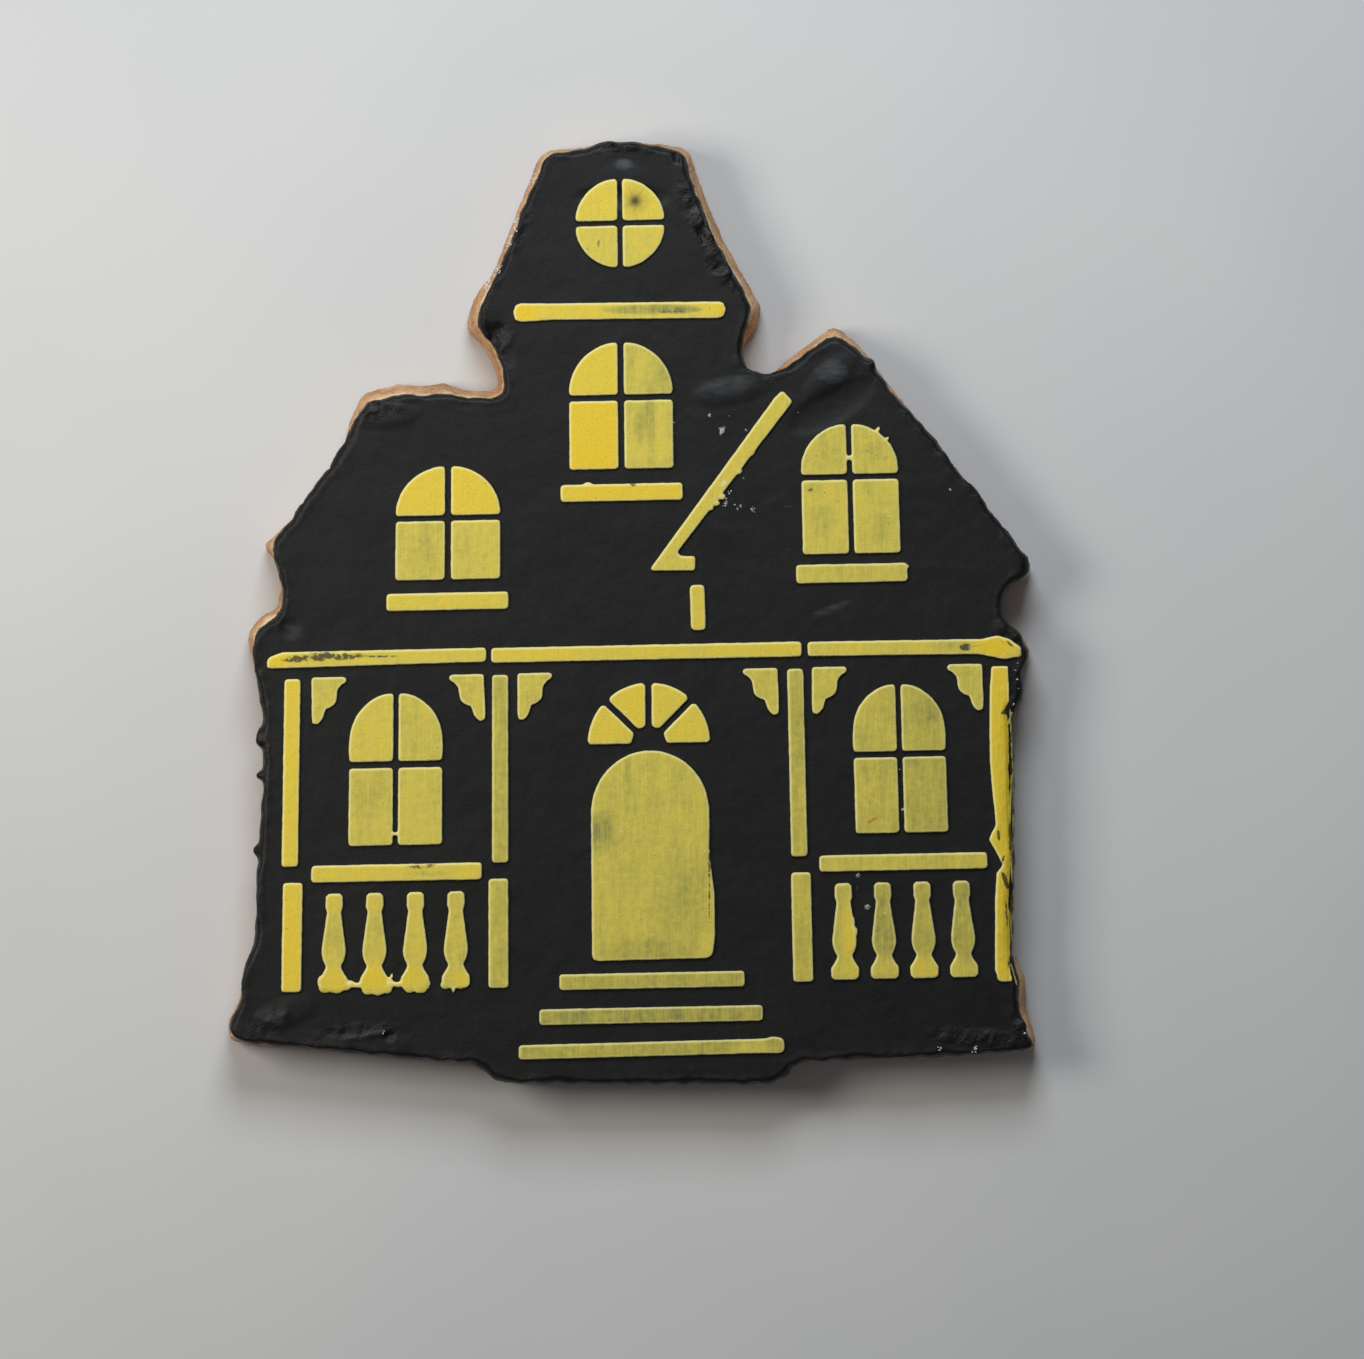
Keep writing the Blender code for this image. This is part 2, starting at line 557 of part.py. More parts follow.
def add_windows(collection, helpers):
    """The five arched windows, with the two pairs that a thread of icing joins."""
    window("tower", TOWER_WINDOW, 0.15, collection)
    window("left_gable", LEFT_GABLE_WINDOW, 0.2, collection)
    window("right_porch", RIGHT_PORCH_WINDOW, 0.55, collection)

    arches = window("right_gable", RIGHT_GABLE_WINDOW, 0.5, collection)[:2]
    centre, _, mullion, (foot, _, _), _ = RIGHT_GABLE_WINDOW
    web = thread(centre - mullion / 2, centre + mullion / 2, foot + 1.7, foot + 2.2, collection)
    fused([*arches, web], helpers).name = "right_gable_arches"

    panes = window("left_porch", LEFT_PORCH_WINDOW, 0.35, collection)[2:]
    centre, _, mullion, _, (foot, _) = LEFT_PORCH_WINDOW
    web = thread(centre - mullion / 2, centre + mullion / 2, foot + 1.2, foot + 1.55, collection)
    fused([*panes, web], helpers).name = "left_porch_panes"


def add_bars(collection):
    """Sills, porch beams, rails, steps, the roof's slanting brace and its short stub."""
    for name, bar in BARS.items():
        stencil_piece(name, bar_outline(*bar), 0.4, collection)
    for name, corners in UNEVEN_BARS.items():
        stencil_piece(name, rounded(corners, CORNER_SEGMENTS), 0.25, collection)


def add_posts(collection):
    """The upright posts of the porch, but for the one that ran over the edge."""
    for level, (foot, top, width, lines) in (("upper", UPPER_POSTS), ("lower", LOWER_POSTS)):
        for name, line in lines.items():
            outline = bar_outline(line - width / 2, line + width / 2, foot, top)
            stencil_piece(f"{level}_post_{name}", outline, 0.3, collection)


def brackets(helpers):
    """The six stepped brackets, as blocks that reach down into the black icing."""
    for number, (side, way) in enumerate(BRACKETS):
        corners = [(side + way * x, BRACKET_TOP + y, rounding) for x, y, rounding in BRACKET_CORNERS]
        outline = rounded(corners, 1)
        yield stencil_piece(f"bracket_{number}", outline, 0.4, helpers, BRACKET_SINK + LAYER_GAP)


def baluster_outline(line):
    """One baluster, its profile mirrored about its upright line."""
    right = [(line + half_width, BALUSTER_TOP - depth, rounding) for depth, half_width, rounding in BALUSTER_PROFILE]
    left = mirrored(right, line)
    return rounded(right + left[::-1], 1)


def add_balusters(collection, helpers):
    """Four balusters on each side of the porch. The feet of the first three on the left ran together."""
    for side, (first, pitch) in (("left", LEFT_BALUSTERS), ("right", RIGHT_BALUSTERS)):
        made = []
        for number in range(BALUSTERS_A_SIDE):
            name = f"{side}_baluster_{number + 1}"
            made.append(stencil_piece(name, baluster_outline(first + number * pitch), 0.45, collection))
        if side == "right":
            continue
        half_foot = BALUSTER_PROFILE[-1][1]
        top, foot = [BALUSTER_TOP - depth for depth in WEB_DEPTH]
        joined = made[:BALUSTERS_JOINED]
        for number in range(BALUSTERS_JOINED - 1):
            line = first + number * pitch
            joined.append(thread(line + half_foot, line + pitch - half_foot, foot, top, collection))
        fused(joined, helpers).name = "left_balusters_joined"


def add_fanlight(collection):
    """Four wedges fanned out over the door."""
    inner_radius, outer_radius = FANLIGHT_RADII
    half_bar = FANLIGHT_BAR / 2
    sector = math.pi / FANLIGHT_WEDGES
    for number in range(FANLIGHT_WEDGES):
        # The outermost wedges stand on the level foot and keep no bar there.
        start_bar = half_bar if number > 0 else 0.0
        end_bar = half_bar if number < FANLIGHT_WEDGES - 1 else 0.0
        start, end = number * sector, (number + 1) * sector
        outer = [start + math.asin(start_bar / outer_radius), end - math.asin(end_bar / outer_radius)]
        inner = [start + math.asin(start_bar / inner_radius), end - math.asin(end_bar / inner_radius)]
        corners = arc(FANLIGHT_CENTRE, (outer_radius, outer_radius), *outer, (0.3, 0.3))
        for angle in reversed(inner):
            x = FANLIGHT_CENTRE[0] + inner_radius * math.cos(angle)
            corners.append((x, FANLIGHT_CENTRE[1] + inner_radius * math.sin(angle), 0.3))
        stencil_piece(f"fanlight_wedge_{number + 1}", rounded(corners, 1), 0.15, collection)


def add_door(collection):
    """The round-headed front door."""
    left, right = DOOR_SIDES
    foot, springing, crown = DOOR_HEIGHTS
    half_width = (right - left) / 2
    head = arc((left + half_width, springing), (half_width, crown - springing), math.pi, math.pi / 2)
    head += arc((left + half_width, springing), (half_width, crown - springing), math.pi / 2, 0.0)[1:]
    bulge = [(right + DOOR_BULGE, -34.0, 4.0), (right + DOOR_BULGE, -39.0, 3.0)]
    corners = [(left, foot, 0.8), *head, (right, -30.0, 2.0), *bulge, (right + 0.1, foot + 0.1, 0.9)]
    stencil_piece("door", rounded(corners, CORNER_SEGMENTS), 0.4, collection)


def pillow_height(depth):
    """The height of the icing's surface at a distance in from its edge."""
    levels = ICING_LEVELS
    if depth <= levels[0][1]:
        return ICING_BASE + levels[0][0]
    for (low, near), (high, far) in zip(levels, levels[1:]):
        if depth <= far:
            return ICING_BASE + low + (high - low) * (depth - near) / (far - near)
    return ICING_TOP


def right_edge_at(edge, y):
    """Where the icing's right edge crosses a height on the cookie."""
    crossings = []
    for here, after in zip(edge, turned(edge, 1)):
        if (here.y - y) * (after.y - y) <= 0 and here.y != after.y:
            crossings.append(here.x + (after.x - here.x) * (y - here.y) / (after.y - here.y))
    return max(crossings)


def add_spilt_post(edge, collection):
    """The right-hand post, a ribbon of yellow that follows the icing down over its rounded edge."""
    rows = len(SPILT_POST) - 1
    mesh = bpy.data.meshes.new("right_post_spilt")
    shape = bmesh.new()
    bmesh.ops.create_grid(shape, x_segments=SPILT_POST_COLUMNS, y_segments=rows, size=1.0)
    for vertex in shape.verts:
        column = round((vertex.co.x + 1) / 2 * SPILT_POST_COLUMNS)
        y, left, right = SPILT_POST[round((1 - vertex.co.y) / 2 * rows)]
        x = left + (right - left) * column / SPILT_POST_COLUMNS
        vertex.co = Vector((x, y, pillow_height(right_edge_at(edge, y) - x) + LAYER_GAP)) * MM
    bmesh.ops.recalc_face_normals(shape, faces=shape.faces)
    if sum(face.normal.z for face in shape.faces) < 0:
        bmesh.ops.reverse_faces(shape, faces=shape.faces)
    shape.to_mesh(mesh)
    shape.free()
    mesh.materials.append(yellow_icing("right_post_yellow", 0.1))
    made = bpy.data.objects.new("right_post_spilt", mesh)
    thickening = made.modifiers.new("thickness", "SOLIDIFY")
    thickening.thickness = STENCIL_THICKNESS * MM
    thickening.offset = 1.0
    collection.objects.link(made)


def main():
    for leftover in list(bpy.data.objects):
        bpy.data.objects.remove(leftover)
    parts = bpy.data.collections.new("house_cookie")
    helpers = bpy.data.collections.new("icing_helpers")
    for collection in (parts, helpers):
        bpy.context.scene.collection.children.link(collection)

    outline = cookie_outline()
    biscuit(outline, parts)
    coat, edge = black_coat(outline, parts)
    cut_dent(coat, helpers)
    add_lumps(helpers)
    relief = list(helpers.objects) + list(brackets(helpers))
    fused([coat, *relief], helpers)

    add_attic_window(parts)
    add_windows(parts, helpers)
    add_bars(parts)
    add_posts(parts)
    add_balusters(parts, helpers)
    add_fanlight(parts)
    add_door(parts)
    add_spilt_post(edge, parts)
    bpy.data.collections.remove(helpers)

    # Everything hangs on one empty, which brings the middle of the outline to the origin.
    middle = middle_of(outline[0])
    cookie_middle = bpy.data.objects.new("cookie_middle", None)
    cookie_middle.location = (-middle.x * MM, -middle.y * MM, 0.0)
    parts.objects.link(cookie_middle)
    for piece in list(parts.objects):
        if piece is not cookie_middle:
            piece.parent = cookie_middle


main()
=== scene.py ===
"""A cut-out sugar cookie in the shape of an old house: a baked biscuit under black icing, with its windows,
door, porch and steps scraped on in yellow icing. All sizes below are in millimetres."""

import math
import random

import bpy
import numpy as np
from mathutils import Euler, Matrix, Vector


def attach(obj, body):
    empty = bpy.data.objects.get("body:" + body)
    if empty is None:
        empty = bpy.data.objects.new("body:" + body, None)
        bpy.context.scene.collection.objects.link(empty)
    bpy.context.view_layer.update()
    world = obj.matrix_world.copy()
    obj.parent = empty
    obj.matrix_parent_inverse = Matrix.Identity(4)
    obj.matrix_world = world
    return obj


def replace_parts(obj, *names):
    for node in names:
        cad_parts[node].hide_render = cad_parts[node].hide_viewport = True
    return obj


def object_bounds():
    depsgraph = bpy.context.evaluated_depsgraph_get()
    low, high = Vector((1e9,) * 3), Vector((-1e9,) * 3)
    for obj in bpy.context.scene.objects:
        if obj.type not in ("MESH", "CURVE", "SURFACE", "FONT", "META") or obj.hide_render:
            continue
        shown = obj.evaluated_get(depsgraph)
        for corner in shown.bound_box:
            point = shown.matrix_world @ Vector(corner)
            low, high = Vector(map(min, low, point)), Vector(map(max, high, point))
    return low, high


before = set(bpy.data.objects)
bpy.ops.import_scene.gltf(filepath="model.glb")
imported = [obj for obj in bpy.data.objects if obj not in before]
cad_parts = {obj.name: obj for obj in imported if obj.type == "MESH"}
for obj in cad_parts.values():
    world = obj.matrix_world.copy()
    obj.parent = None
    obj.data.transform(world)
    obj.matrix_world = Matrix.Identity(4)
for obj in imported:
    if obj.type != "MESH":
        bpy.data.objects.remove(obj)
cad_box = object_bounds()
rng = random.Random(7)

MM = 0.001
RAY_HEIGHT = 20.0  # rays that look for what lies under a place start this high

# How high the layers lie, in the solids and once nothing is left between them.
BISCUIT_TOP = 6.2
CAD_COAT_BASE = 6.5
CAD_COAT_TOP = 8.1
COAT_BASE = 6.25
COAT_TOP = 8.38
COAT_STRETCH = (COAT_TOP - COAT_BASE) / (CAD_COAT_TOP - CAD_COAT_BASE)
BRACKET_LEVEL = 8.5  # only the yellow brackets' relief stands over this in the solid of the black coat
YELLOW_ROOT = 0.15  # how deep yellow icing sits in the black

# Mesh sizes.
BISCUIT_VOXEL = 0.5
COAT_VOXEL = 0.34
YELLOW_VOXEL = 0.16
STRAND_VOXEL = 0.09
UNDERSIDE_SHARE = 0.54  # of the coat's faces stay when its flat underside is made plainer

# Unevenness: the size of its lumps and how far they rise.
BAKED_SWELL = (2.6, 0.3)
BAKED_CRUMB = (0.9, 0.38)
BAKED_MIDDLE = 0.62  # a texture value that leaves the flank where it is
POURED_SWELL = (7.0, 0.1)
RAGGED_BRIM = (1.6, 0.3)
TORN_FOLDS = (1.8, 0.45)
TORN_FLAKES = (1.3, -0.25)
SWELL_RISE = 0.16
HOLLOW_RISE = -0.6
YELLOW_EDGE = (0.9, 0.09)

# How the coat's rim wanders: over what length and how far. The sharper rim's width does so about a middle.
RIM_WANDER = (0.9, 0.1)
SHARP_WANDER = (3.0, 0.45, 0.65)
CREST_SHARE = 0.8  # how much is taken off what the brim raised over the coat's top
DENT_FILL = 0.75
# The coat's rim as it comes: how high it stands, as a share of the coat, this far in from its edge.
RIM_DEPTHS = (0.0, 0.3, 0.95, 2.1)
RIM_HEIGHTS = (0.25, 0.625, 0.8875, 1.0)
GENTLE = (math.radians(4), math.radians(42))  # a turn between these, in an outline, is part of a curve

# Spots on the cookie: x, y, half length, half width, heading in degrees, strength.
TORN_BLACK = (
    (8.5, 46.5, 7.0, 1.6, -63, 1.0), (11.0, 41.0, 3.0, 1.5, -50, 1.0), (-31.5, 25.0, 5.0, 2.2, 10, 0.8),
    (-35.5, 20.0, 4.5, 1.6, 55, 0.6), (-13.7, 45.5, 5.0, 1.2, 67, 0.6), (-33.0, -50.3, 6.0, 1.2, 5, 0.6),
    (-43.5, -49.3, 3.2, 1.8, 20, 0.5), (41.5, -51.0, 6.5, 1.2, -5, 0.9), (-44.2, -17.0, 4.0, 1.0, 90, 0.7),
    (-16.0, 32.0, 3.5, 1.6, 60, 0.6), (29.2, 29.8, 1.6, 1.0, -50, 1.0), (45.5, -3.0, 3.0, 1.5, -40, 0.8),
    (45.6, -24.0, 18.0, 0.6, 90, 0.6), (47.0, -49.5, 1.8, 2.0, 0, 0.9), (-1.6, 56.0, 3.4, 0.7, 0, 0.8),
    (-44.0, 3.5, 1.2, 4.0, 10, 0.6),
)
SWELLS = (
    (24.0, 28.4, 4.0, 1.8, 40, 0.9), (12.0, 26.6, 5.0, 1.6, 10, 0.9), (-29.5, 23.6, 4.5, 1.5, 5, 0.8),
    (-41.5, -48.0, 4.0, 1.8, 20, 0.8), (-33.0, -52.0, 7.0, 1.6, 3, 0.7), (-17.5, 36.5, 1.8, 2.8, 20, 0.8),
)
DENT = (-16.3, 33.1, 2.4, 3.0, 0, 1.0)  # the dent beside the tower, which the poured coat half fills
HOLLOWS = (
    (-16.6, 33.3, 2.0, 0.5, -62, 0.7), (-14.9, 30.9, 0.9, 1.6, 20, 0.25), (-41.0, -1.9, 1.3, 1.3, 0, 0.35),
    (24.0, 24.8, 6.0, 2.2, 30, 0.4), (-1.0, 49.9, 6.0, 1.4, 0, 0.4), (-29.1, -50.8, 0.6, 0.5, 0, 0.9),
    (5.4, 54.6, 0.7, 0.4, -60, 0.8), (10.5, 41.3, 1.0, 0.5, 20, 0.8), (8.4, 45.4, 0.9, 0.4, -60, 0.8),
)
# Ridges of torn black icing: from x, y to x, y, how many lumps, how wide they are and how far they rise.
RIDGES = (
    (5.4, 54.4, 6.8, 50.4, 7, 0.7, 0.2), (6.8, 50.4, 8.4, 45.4, 9, 0.8, 0.22),
    (8.4, 45.4, 11.6, 40.8, 9, 0.8, 0.25), (-4.4, 56.1, 0.9, 56.3, 6, 1.1, 0.4),
    (-13.2, 47.8, -16.4, 40.4, 9, 0.8, 0.3), (-35.0, 25.4, -28.0, 26.0, 8, 1.0, 0.3),
    (-44.4, -49.6, -41.0, -47.2, 5, 1.3, 0.25), (-37.5, -51.0, -34.0, -51.6, 4, 1.2, 0.2),
    (-34.4, -51.4, -29.9, -50.5, 9, 0.6, 0.4), (36.0, -51.8, 44.5, -51.6, 9, 0.9, 0.35),
    (45.2, -47.6, 47.4, -49.6, 4, 1.2, 0.4), (46.6, -4.4, 47.0, -8.6, 5, 0.9, 0.35),
    (-44.9, 2.6, -44.4, -1.0, 4, 0.9, 0.3), (-44.4, 5.8, -43.4, 9.0, 4, 1.0, 0.3),
    (28.0, 30.2, 30.6, 28.2, 5, 0.9, 0.35),
)
LUMP_ROOT = 0.4  # how deep the middle of each lump sits in the coat
LUMP_FOOTING = ((0.6, 0), (-0.6, 0), (0, 0.6), (0, -0.6))  # the coat lies under these places round it
# Where the coat ran further over the biscuit's edge than elsewhere.
SPREAD = (
    (41.4, 14.2, 2.6, 2.2, -50, 1.0), (45.4, 9.3, 4.6, 2.0, -52, 0.8), (47.4, 5.6, 2.0, 2.0, -50, 0.8),
    (36.4, 20.4, 6.0, 2.0, -51, 0.6), (-37.8, 17.2, 11.0, 2.4, 56, 1.0), (-45.8, -14.5, 6.0, 1.4, 90, 0.5),
)
SPREAD_REACH = 0.55
# Pale scuffs on the black coat, and painted sheens and glints where its swells and torn lumps catch the
# light.
SCUFFS_AND_SHEENS = (
    (23.8, 0.4, 4.0, 0.8, 20, 0.68), (16.8, 13.6, 3.0, 1.0, 15, 0.45), (22.9, -10.8, 2.4, 1.0, 10, 0.4),
    (-41.0, -1.9, 1.4, 1.4, 0, 0.5), (28.5, 15.5, 2.4, 0.5, 0, 0.4), (-29.5, 23.5, 5.0, 1.2, 10, 0.45),
    (-43.0, -48.6, 3.0, 1.6, 15, 0.5), (-0.9, 53.8, 1.5, 0.9, 0, 1.0), (-1.0, 53.6, 4.0, 1.6, 0, 0.45),
    (24.0, 29.0, 2.8, 2.0, 0, 0.72), (11.5, 27.2, 5.5, 1.8, 10, 0.6), (-32.0, -50.6, 4.5, 0.35, 12, 0.7),
    (9.0, 24.9, 3.2, 0.15, 0, 0.5), (-20.9, 31.5, 3.5, 1.2, 0, 0.3), (18.9, 12.7, 0.9, 0.35, 0, 0.8),
)
# White powder that lies on the black, and a pale crust of it on the yellow.
POWDER = (
    (9.3, 23.7, 0.3, 0.22, 20, 1.0), (11.8, 23.6, 0.18, 0.12, 0, 0.6), (10.8, 21.8, 0.42, 0.75, -20, 0.85),
    (11.5, 22.5, 0.15, 0.35, -10, 0.6), (13.7, 22.0, 0.2, 0.28, 30, 0.8), (13.4, 16.1, 0.2, 0.15, 0, 0.7),
    (12.9, 12.6, 0.55, 0.2, 25, 1.0), (14.5, 12.3, 0.5, 0.22, -35, 0.9), (11.4, 13.3, 0.3, 0.5, 0, 0.7),
    (27.2, -31.5, 0.4, 0.5, 0, 0.7), (27.1, -33.0, 0.3, 0.6, 0, 0.5), (28.3, -35.3, 0.6, 0.5, 0, 0.7),
    (33.4, -35.1, 0.15, 0.15, 0, 0.7), (5.2, 22.8, 0.16, 0.16, 0, 0.9), (20.0, 24.0, 0.18, 0.16, 0, 0.7),
    (38.2, 14.8, 0.2, 0.16, 0, 0.8), (25.1, 17.2, 0.4, 0.16, 10, 0.5), (29.0, 19.9, 0.35, 0.16, -30, 0.5),
    (-12.4, 51.0, 0.7, 0.14, 66, 0.7), (-14.2, 45.8, 0.8, 0.16, 68, 0.9), (-15.9, 41.4, 0.6, 0.14, 66, 0.7),
)
CRUSTS = (
    (11.1, 15.6, 0.5, 0.8, -30, 0.8), (11.0, 13.6, 0.6, 0.6, 0, 0.7), (26.55, -37.4, 0.35, 1.0, 0, 0.8),
    (30.4, -36.0, 0.4, 0.3, 0, 0.7), (-1.2, -26.2, 0.4, 0.2, 0, 0.9), (-0.4, -25.6, 0.25, 0.35, 0, 0.8),
    (-4.85, -26.0, 0.28, 1.0, 0, 0.9), (-5.2, 15.3, 0.5, 0.3, 0, 0.8), (-0.1, 15.2, 0.4, 0.2, 0, 0.5),
    (-0.7, -11.9, 0.4, 0.2, 0, 0.8), (24.4, 19.9, 0.2, 0.2, 0, 0.6), (31.0, 11.6, 0.5, 0.2, 0, 0.7),
)
# Black smudged over the yellow; the first ones make a row of blots along the left beam.
SMUDGES = (
    (-40.0, -5.55, 2.6, 0.55, 2, 0.85), (-37.2, -5.25, 2.8, 0.72, 5, 0.9),
    (-34.4, -5.25, 3.0, 0.55, 3, 0.85), (-30.2, -5.25, 3.2, 0.16, 0, 0.85), (-36.5, -5.25, 5.6, 0.9, 0, 0.5),
    (4.6, 36.1, 3.2, 0.2, 2, 0.6), (-3.95, 44.5, 0.3, 1.2, 0, 0.55), (-4.1, 44.9, 0.5, 1.3, 5, 0.4),
    (-6.1, 46.2, 0.5, 0.3, 20, 0.5), (-4.7, -26.2, 0.8, 2.2, 0, 0.36), (-3.6, -27.6, 1.6, 0.7, 0, 0.34),
    (9.35, -31.5, 0.2, 8.5, 0, 0.8), (-2.1, -20.0, 0.18, 5.5, 0, 0.42), (-1.6, -24.0, 0.16, 6.0, 0, 0.38),
    (-25.4, -30.5, 2.2, 0.4, 4, 0.7), (-24.2, -30.3, 1.2, 0.3, 8, 0.6), (40.1, -4.15, 0.9, 0.5, 0, 1.1),
    (40.3, -4.0, 1.9, 0.5, 0, 0.5), (42.2, -3.9, 1.3, 0.16, 4, 0.5), (45.5, -3.85, 1.0, 0.17, -44, 1.0),
    (44.6, -3.6, 0.7, 0.13, -40, 0.8), (46.1, -2.95, 0.8, 0.55, -40, 1.0), (45.2, -4.9, 0.7, 0.12, -20, 0.6),
    (-5.1, 27.7, 0.2, 0.16, 0, 0.7), (-3.8, 26.4, 0.16, 0.16, 0, 0.6), (3.0, 18.0, 0.8, 0.4, 0, 0.35),
    (-14.8, -47.2, 0.9, 0.3, 0, 0.7), (34.1, -8.6, 0.4, 0.3, 0, 0.5), (24.4, 15.4, 0.2, 0.2, 0, 0.8),
    (0.1, 15.3, 0.7, 0.3, 0, 0.7), (3.2, 31.2, 1.0, 0.25, -25, 0.7), (-38.6, -7.5, 0.25, 0.2, 0, 0.8),
    (44.9, -11.9, 0.7, 0.4, 15, 1.4), (45.5, -18.0, 0.3, 7.0, 1, 1.2), (45.5, -26.5, 0.3, 4.0, 0, 1.2),
    (44.05, -26.7, 0.24, 0.8, 8, 1.3), (44.9, -32.2, 0.35, 1.6, 20, 1.1), (45.5, -35.5, 0.3, 4.0, 0, 1.0),
    (45.0, -36.0, 0.2, 2.4, 4, 0.8), (44.6, -29.6, 0.2, 0.7, -20, 0.9), (45.3, -42.0, 0.2, 1.2, -10, 1.0),
    (44.1, -15.0, 0.25, 1.0, 0, 0.35), (44.2, -22.0, 0.2, 1.4, 0, 0.35), (44.3, -39.0, 0.25, 1.2, 0, 0.4),
    (45.0, -42.6, 0.3, 0.6, 0, 0.6), (24.8, -28.3, 0.3, 0.3, 0, 0.5), (29.2, -22.0, 0.3, 0.25, 0, 0.5),
    (26.1, -20.2, 0.45, 0.45, 0, 0.6), (35.6, -12.6, 0.9, 0.4, -30, 0.4), (21.4, 14.6, 0.5, 0.4, 0, 0.6),
    (21.6, 14.8, 0.22, 0.2, 0, 0.9), (23.2, 14.4, 0.2, 0.16, 0, 0.7), (28.2, 19.4, 1.4, 0.8, 20, 0.42),
    (30.4, 18.6, 0.9, 0.9, 0, 0.4), (31.0, 11.0, 0.9, 1.2, 0, 0.38), (23.4, 10.4, 1.0, 1.2, 0, 0.42),
    (22.2, 18.8, 0.16, 0.16, 0, 0.8), (30.6, 21.0, 0.2, 0.16, 0, 0.8),
)
STAR = (0.45, 49.4, 0.8, 2.6)  # a burst of black in the attic window: x, y, its core and its rays' reach
ORANGE_SCUFFS = (
    (28.9, -24.9, 1.0, 0.28, 30, 1.0), (29.2, -18.4, 0.3, 0.25, 0, 0.6), (28.2, -21.2, 0.3, 0.6, 0, 0.5),
)

# How thinly each yellow piece was scraped on, from 0, thick and bright, to 1, where the black shows through.
THINNESS = {
    "attic_pane_top_left": 0.28, "attic_pane_top_right": 0.3, "attic_pane_bottom_left": 0.42,
    "attic_pane_bottom_right": 0.4, "tower_cornice": 0.25, "tower_arch_left": 0.2, "tower_arch_right": 0.5,
    "tower_pane_left": 0.05, "tower_pane_right": 0.5, "tower_sill": 0.1, "left_gable_arch_left": 0.2,
    "left_gable_arch_right": 0.15, "left_gable_pane_left": 0.5, "left_gable_pane_right": 0.45,
    "left_gable_sill": 0.3, "right_gable_arches": 0.5, "right_gable_pane_left": 0.45,
    "right_gable_pane_right": 0.5, "right_gable_sill": 0.5, "roof_brace": 0.4, "roof_stub": 0.35,
    "porch_beam_left": 0.35, "porch_beam_centre": 0.3, "porch_beam_right": 0.4, "upper_post_left_outer": 0.2,
    "upper_post_left_inner": 0.65, "upper_post_right_inner": 0.6, "lower_post_left_outer": 0.15,
    "lower_post_left_inner": 0.6, "lower_post_right_inner": 0.55, "right_post_spilt": 0.1,
    "left_porch_arch_left": 0.4, "left_porch_arch_right": 0.5, "left_porch_panes": 0.45,
    "right_porch_arch_left": 0.55, "right_porch_arch_right": 0.6, "right_porch_pane_left": 0.6,
    "right_porch_pane_right": 0.7, "porch_rail_left": 0.3, "porch_rail_right": 0.5,
    "left_balusters_joined": 0.4, "left_baluster_4": 0.5, "right_baluster_1": 0.55, "right_baluster_2": 0.72,
    "right_baluster_3": 0.66, "right_baluster_4": 0.72, "fanlight_wedge_1": 0.3, "fanlight_wedge_2": 0.25,
    "fanlight_wedge_3": 0.2, "fanlight_wedge_4": 0.25, "door": 0.52, "step_top": 0.68, "step_middle": 0.78,
    "step_bottom": 0.7,
}
BRACKET_THINNESS = 0.5
# Where a piece is thinner or thicker than the rest of it: x, y, half length, half width, heading, change.
THINNER = (
    (2.2, 23.0, 0.9, 6.5, 0, 0.3), (4.2, 29.0, 2.2, 3.4, 0, 0.2), (1.4, 22.0, 1.5, 3.6, 0, 0.25),
    (-31.0, -21.5, 4.0, 4.5, 0, 0.1), (-4.0, -26.3, 2.4, 3.2, 0, 0.32), (-24.6, 7.0, 1.8, 4.0, 0, 0.1),
    (-20.2, 8.0, 1.6, 2.4, 0, 0.12), (6.0, -34.0, 4.0, 7.0, 0, 0.15), (20.5, -14.0, 1.4, 9.0, 0, 0.1),
    (-33.0, -38.5, 8.0, 3.5, 0, 0.15), (-17.2, -9.5, 0.8, 3.4, 0, 0.2), (2.0, -40.6, 7.0, 2.0, 0, 0.2),
    (35.4, -12.2, 2.2, 2.4, 0, 0.14), (-0.5, -20.0, 0.5, 6.5, 0, 0.2), (38.5, -4.0, 4.0, 0.9, 0, 0.2),
    (22.8, 11.0, 2.0, 2.6, 0, 0.12), (21.8, 14.9, 1.4, 1.0, 0, 0.15), (29.0, 19.4, 1.4, 1.4, 0, 0.14),
    (30.0, 9.8, 1.6, 2.6, 0, 0.1), (23.4, 19.6, 1.6, 1.4, 0, 0.1), (-24.4, -31.3, 3.0, 0.5, 0, 0.3),
)
SCRAPED_BARE = ((2.47, 36.4, 6.2, 0.66, 1, 0.58), (5.2, 36.3, 3.4, 0.5, 1, 0.68))
THICKER = (
    (-31.0, -44.0, 9.0, 2.4, 0, 0.3), (-19.8, -44.0, 2.8, 2.2, 0, 0.28), (14.5, -53.0, 3.4, 2.2, 0, 0.3),
    (-13.2, 36.2, 3.0, 2.4, 0, 0.3), (12.3, 36.8, 2.4, 2.4, 0, 0.9), (43.5, -4.0, 3.6, 2.6, 0, 0.42),
    (-43.0, -5.9, 2.4, 2.2, 0, 0.45), (2.0, 20.0, 3.5, 2.4, 0, 0.15), (-5.0, 19.0, 2.2, 3.5, 0, 0.1),
    (34.0, -42.6, 12.0, 2.2, 0, 0.35), (26.2, -38.0, 1.5, 5.0, 0, 0.3),
)
HIGHLIGHT_BORDER_WIDTH = 0.5  # of the painted highlight along each yellow piece's edge
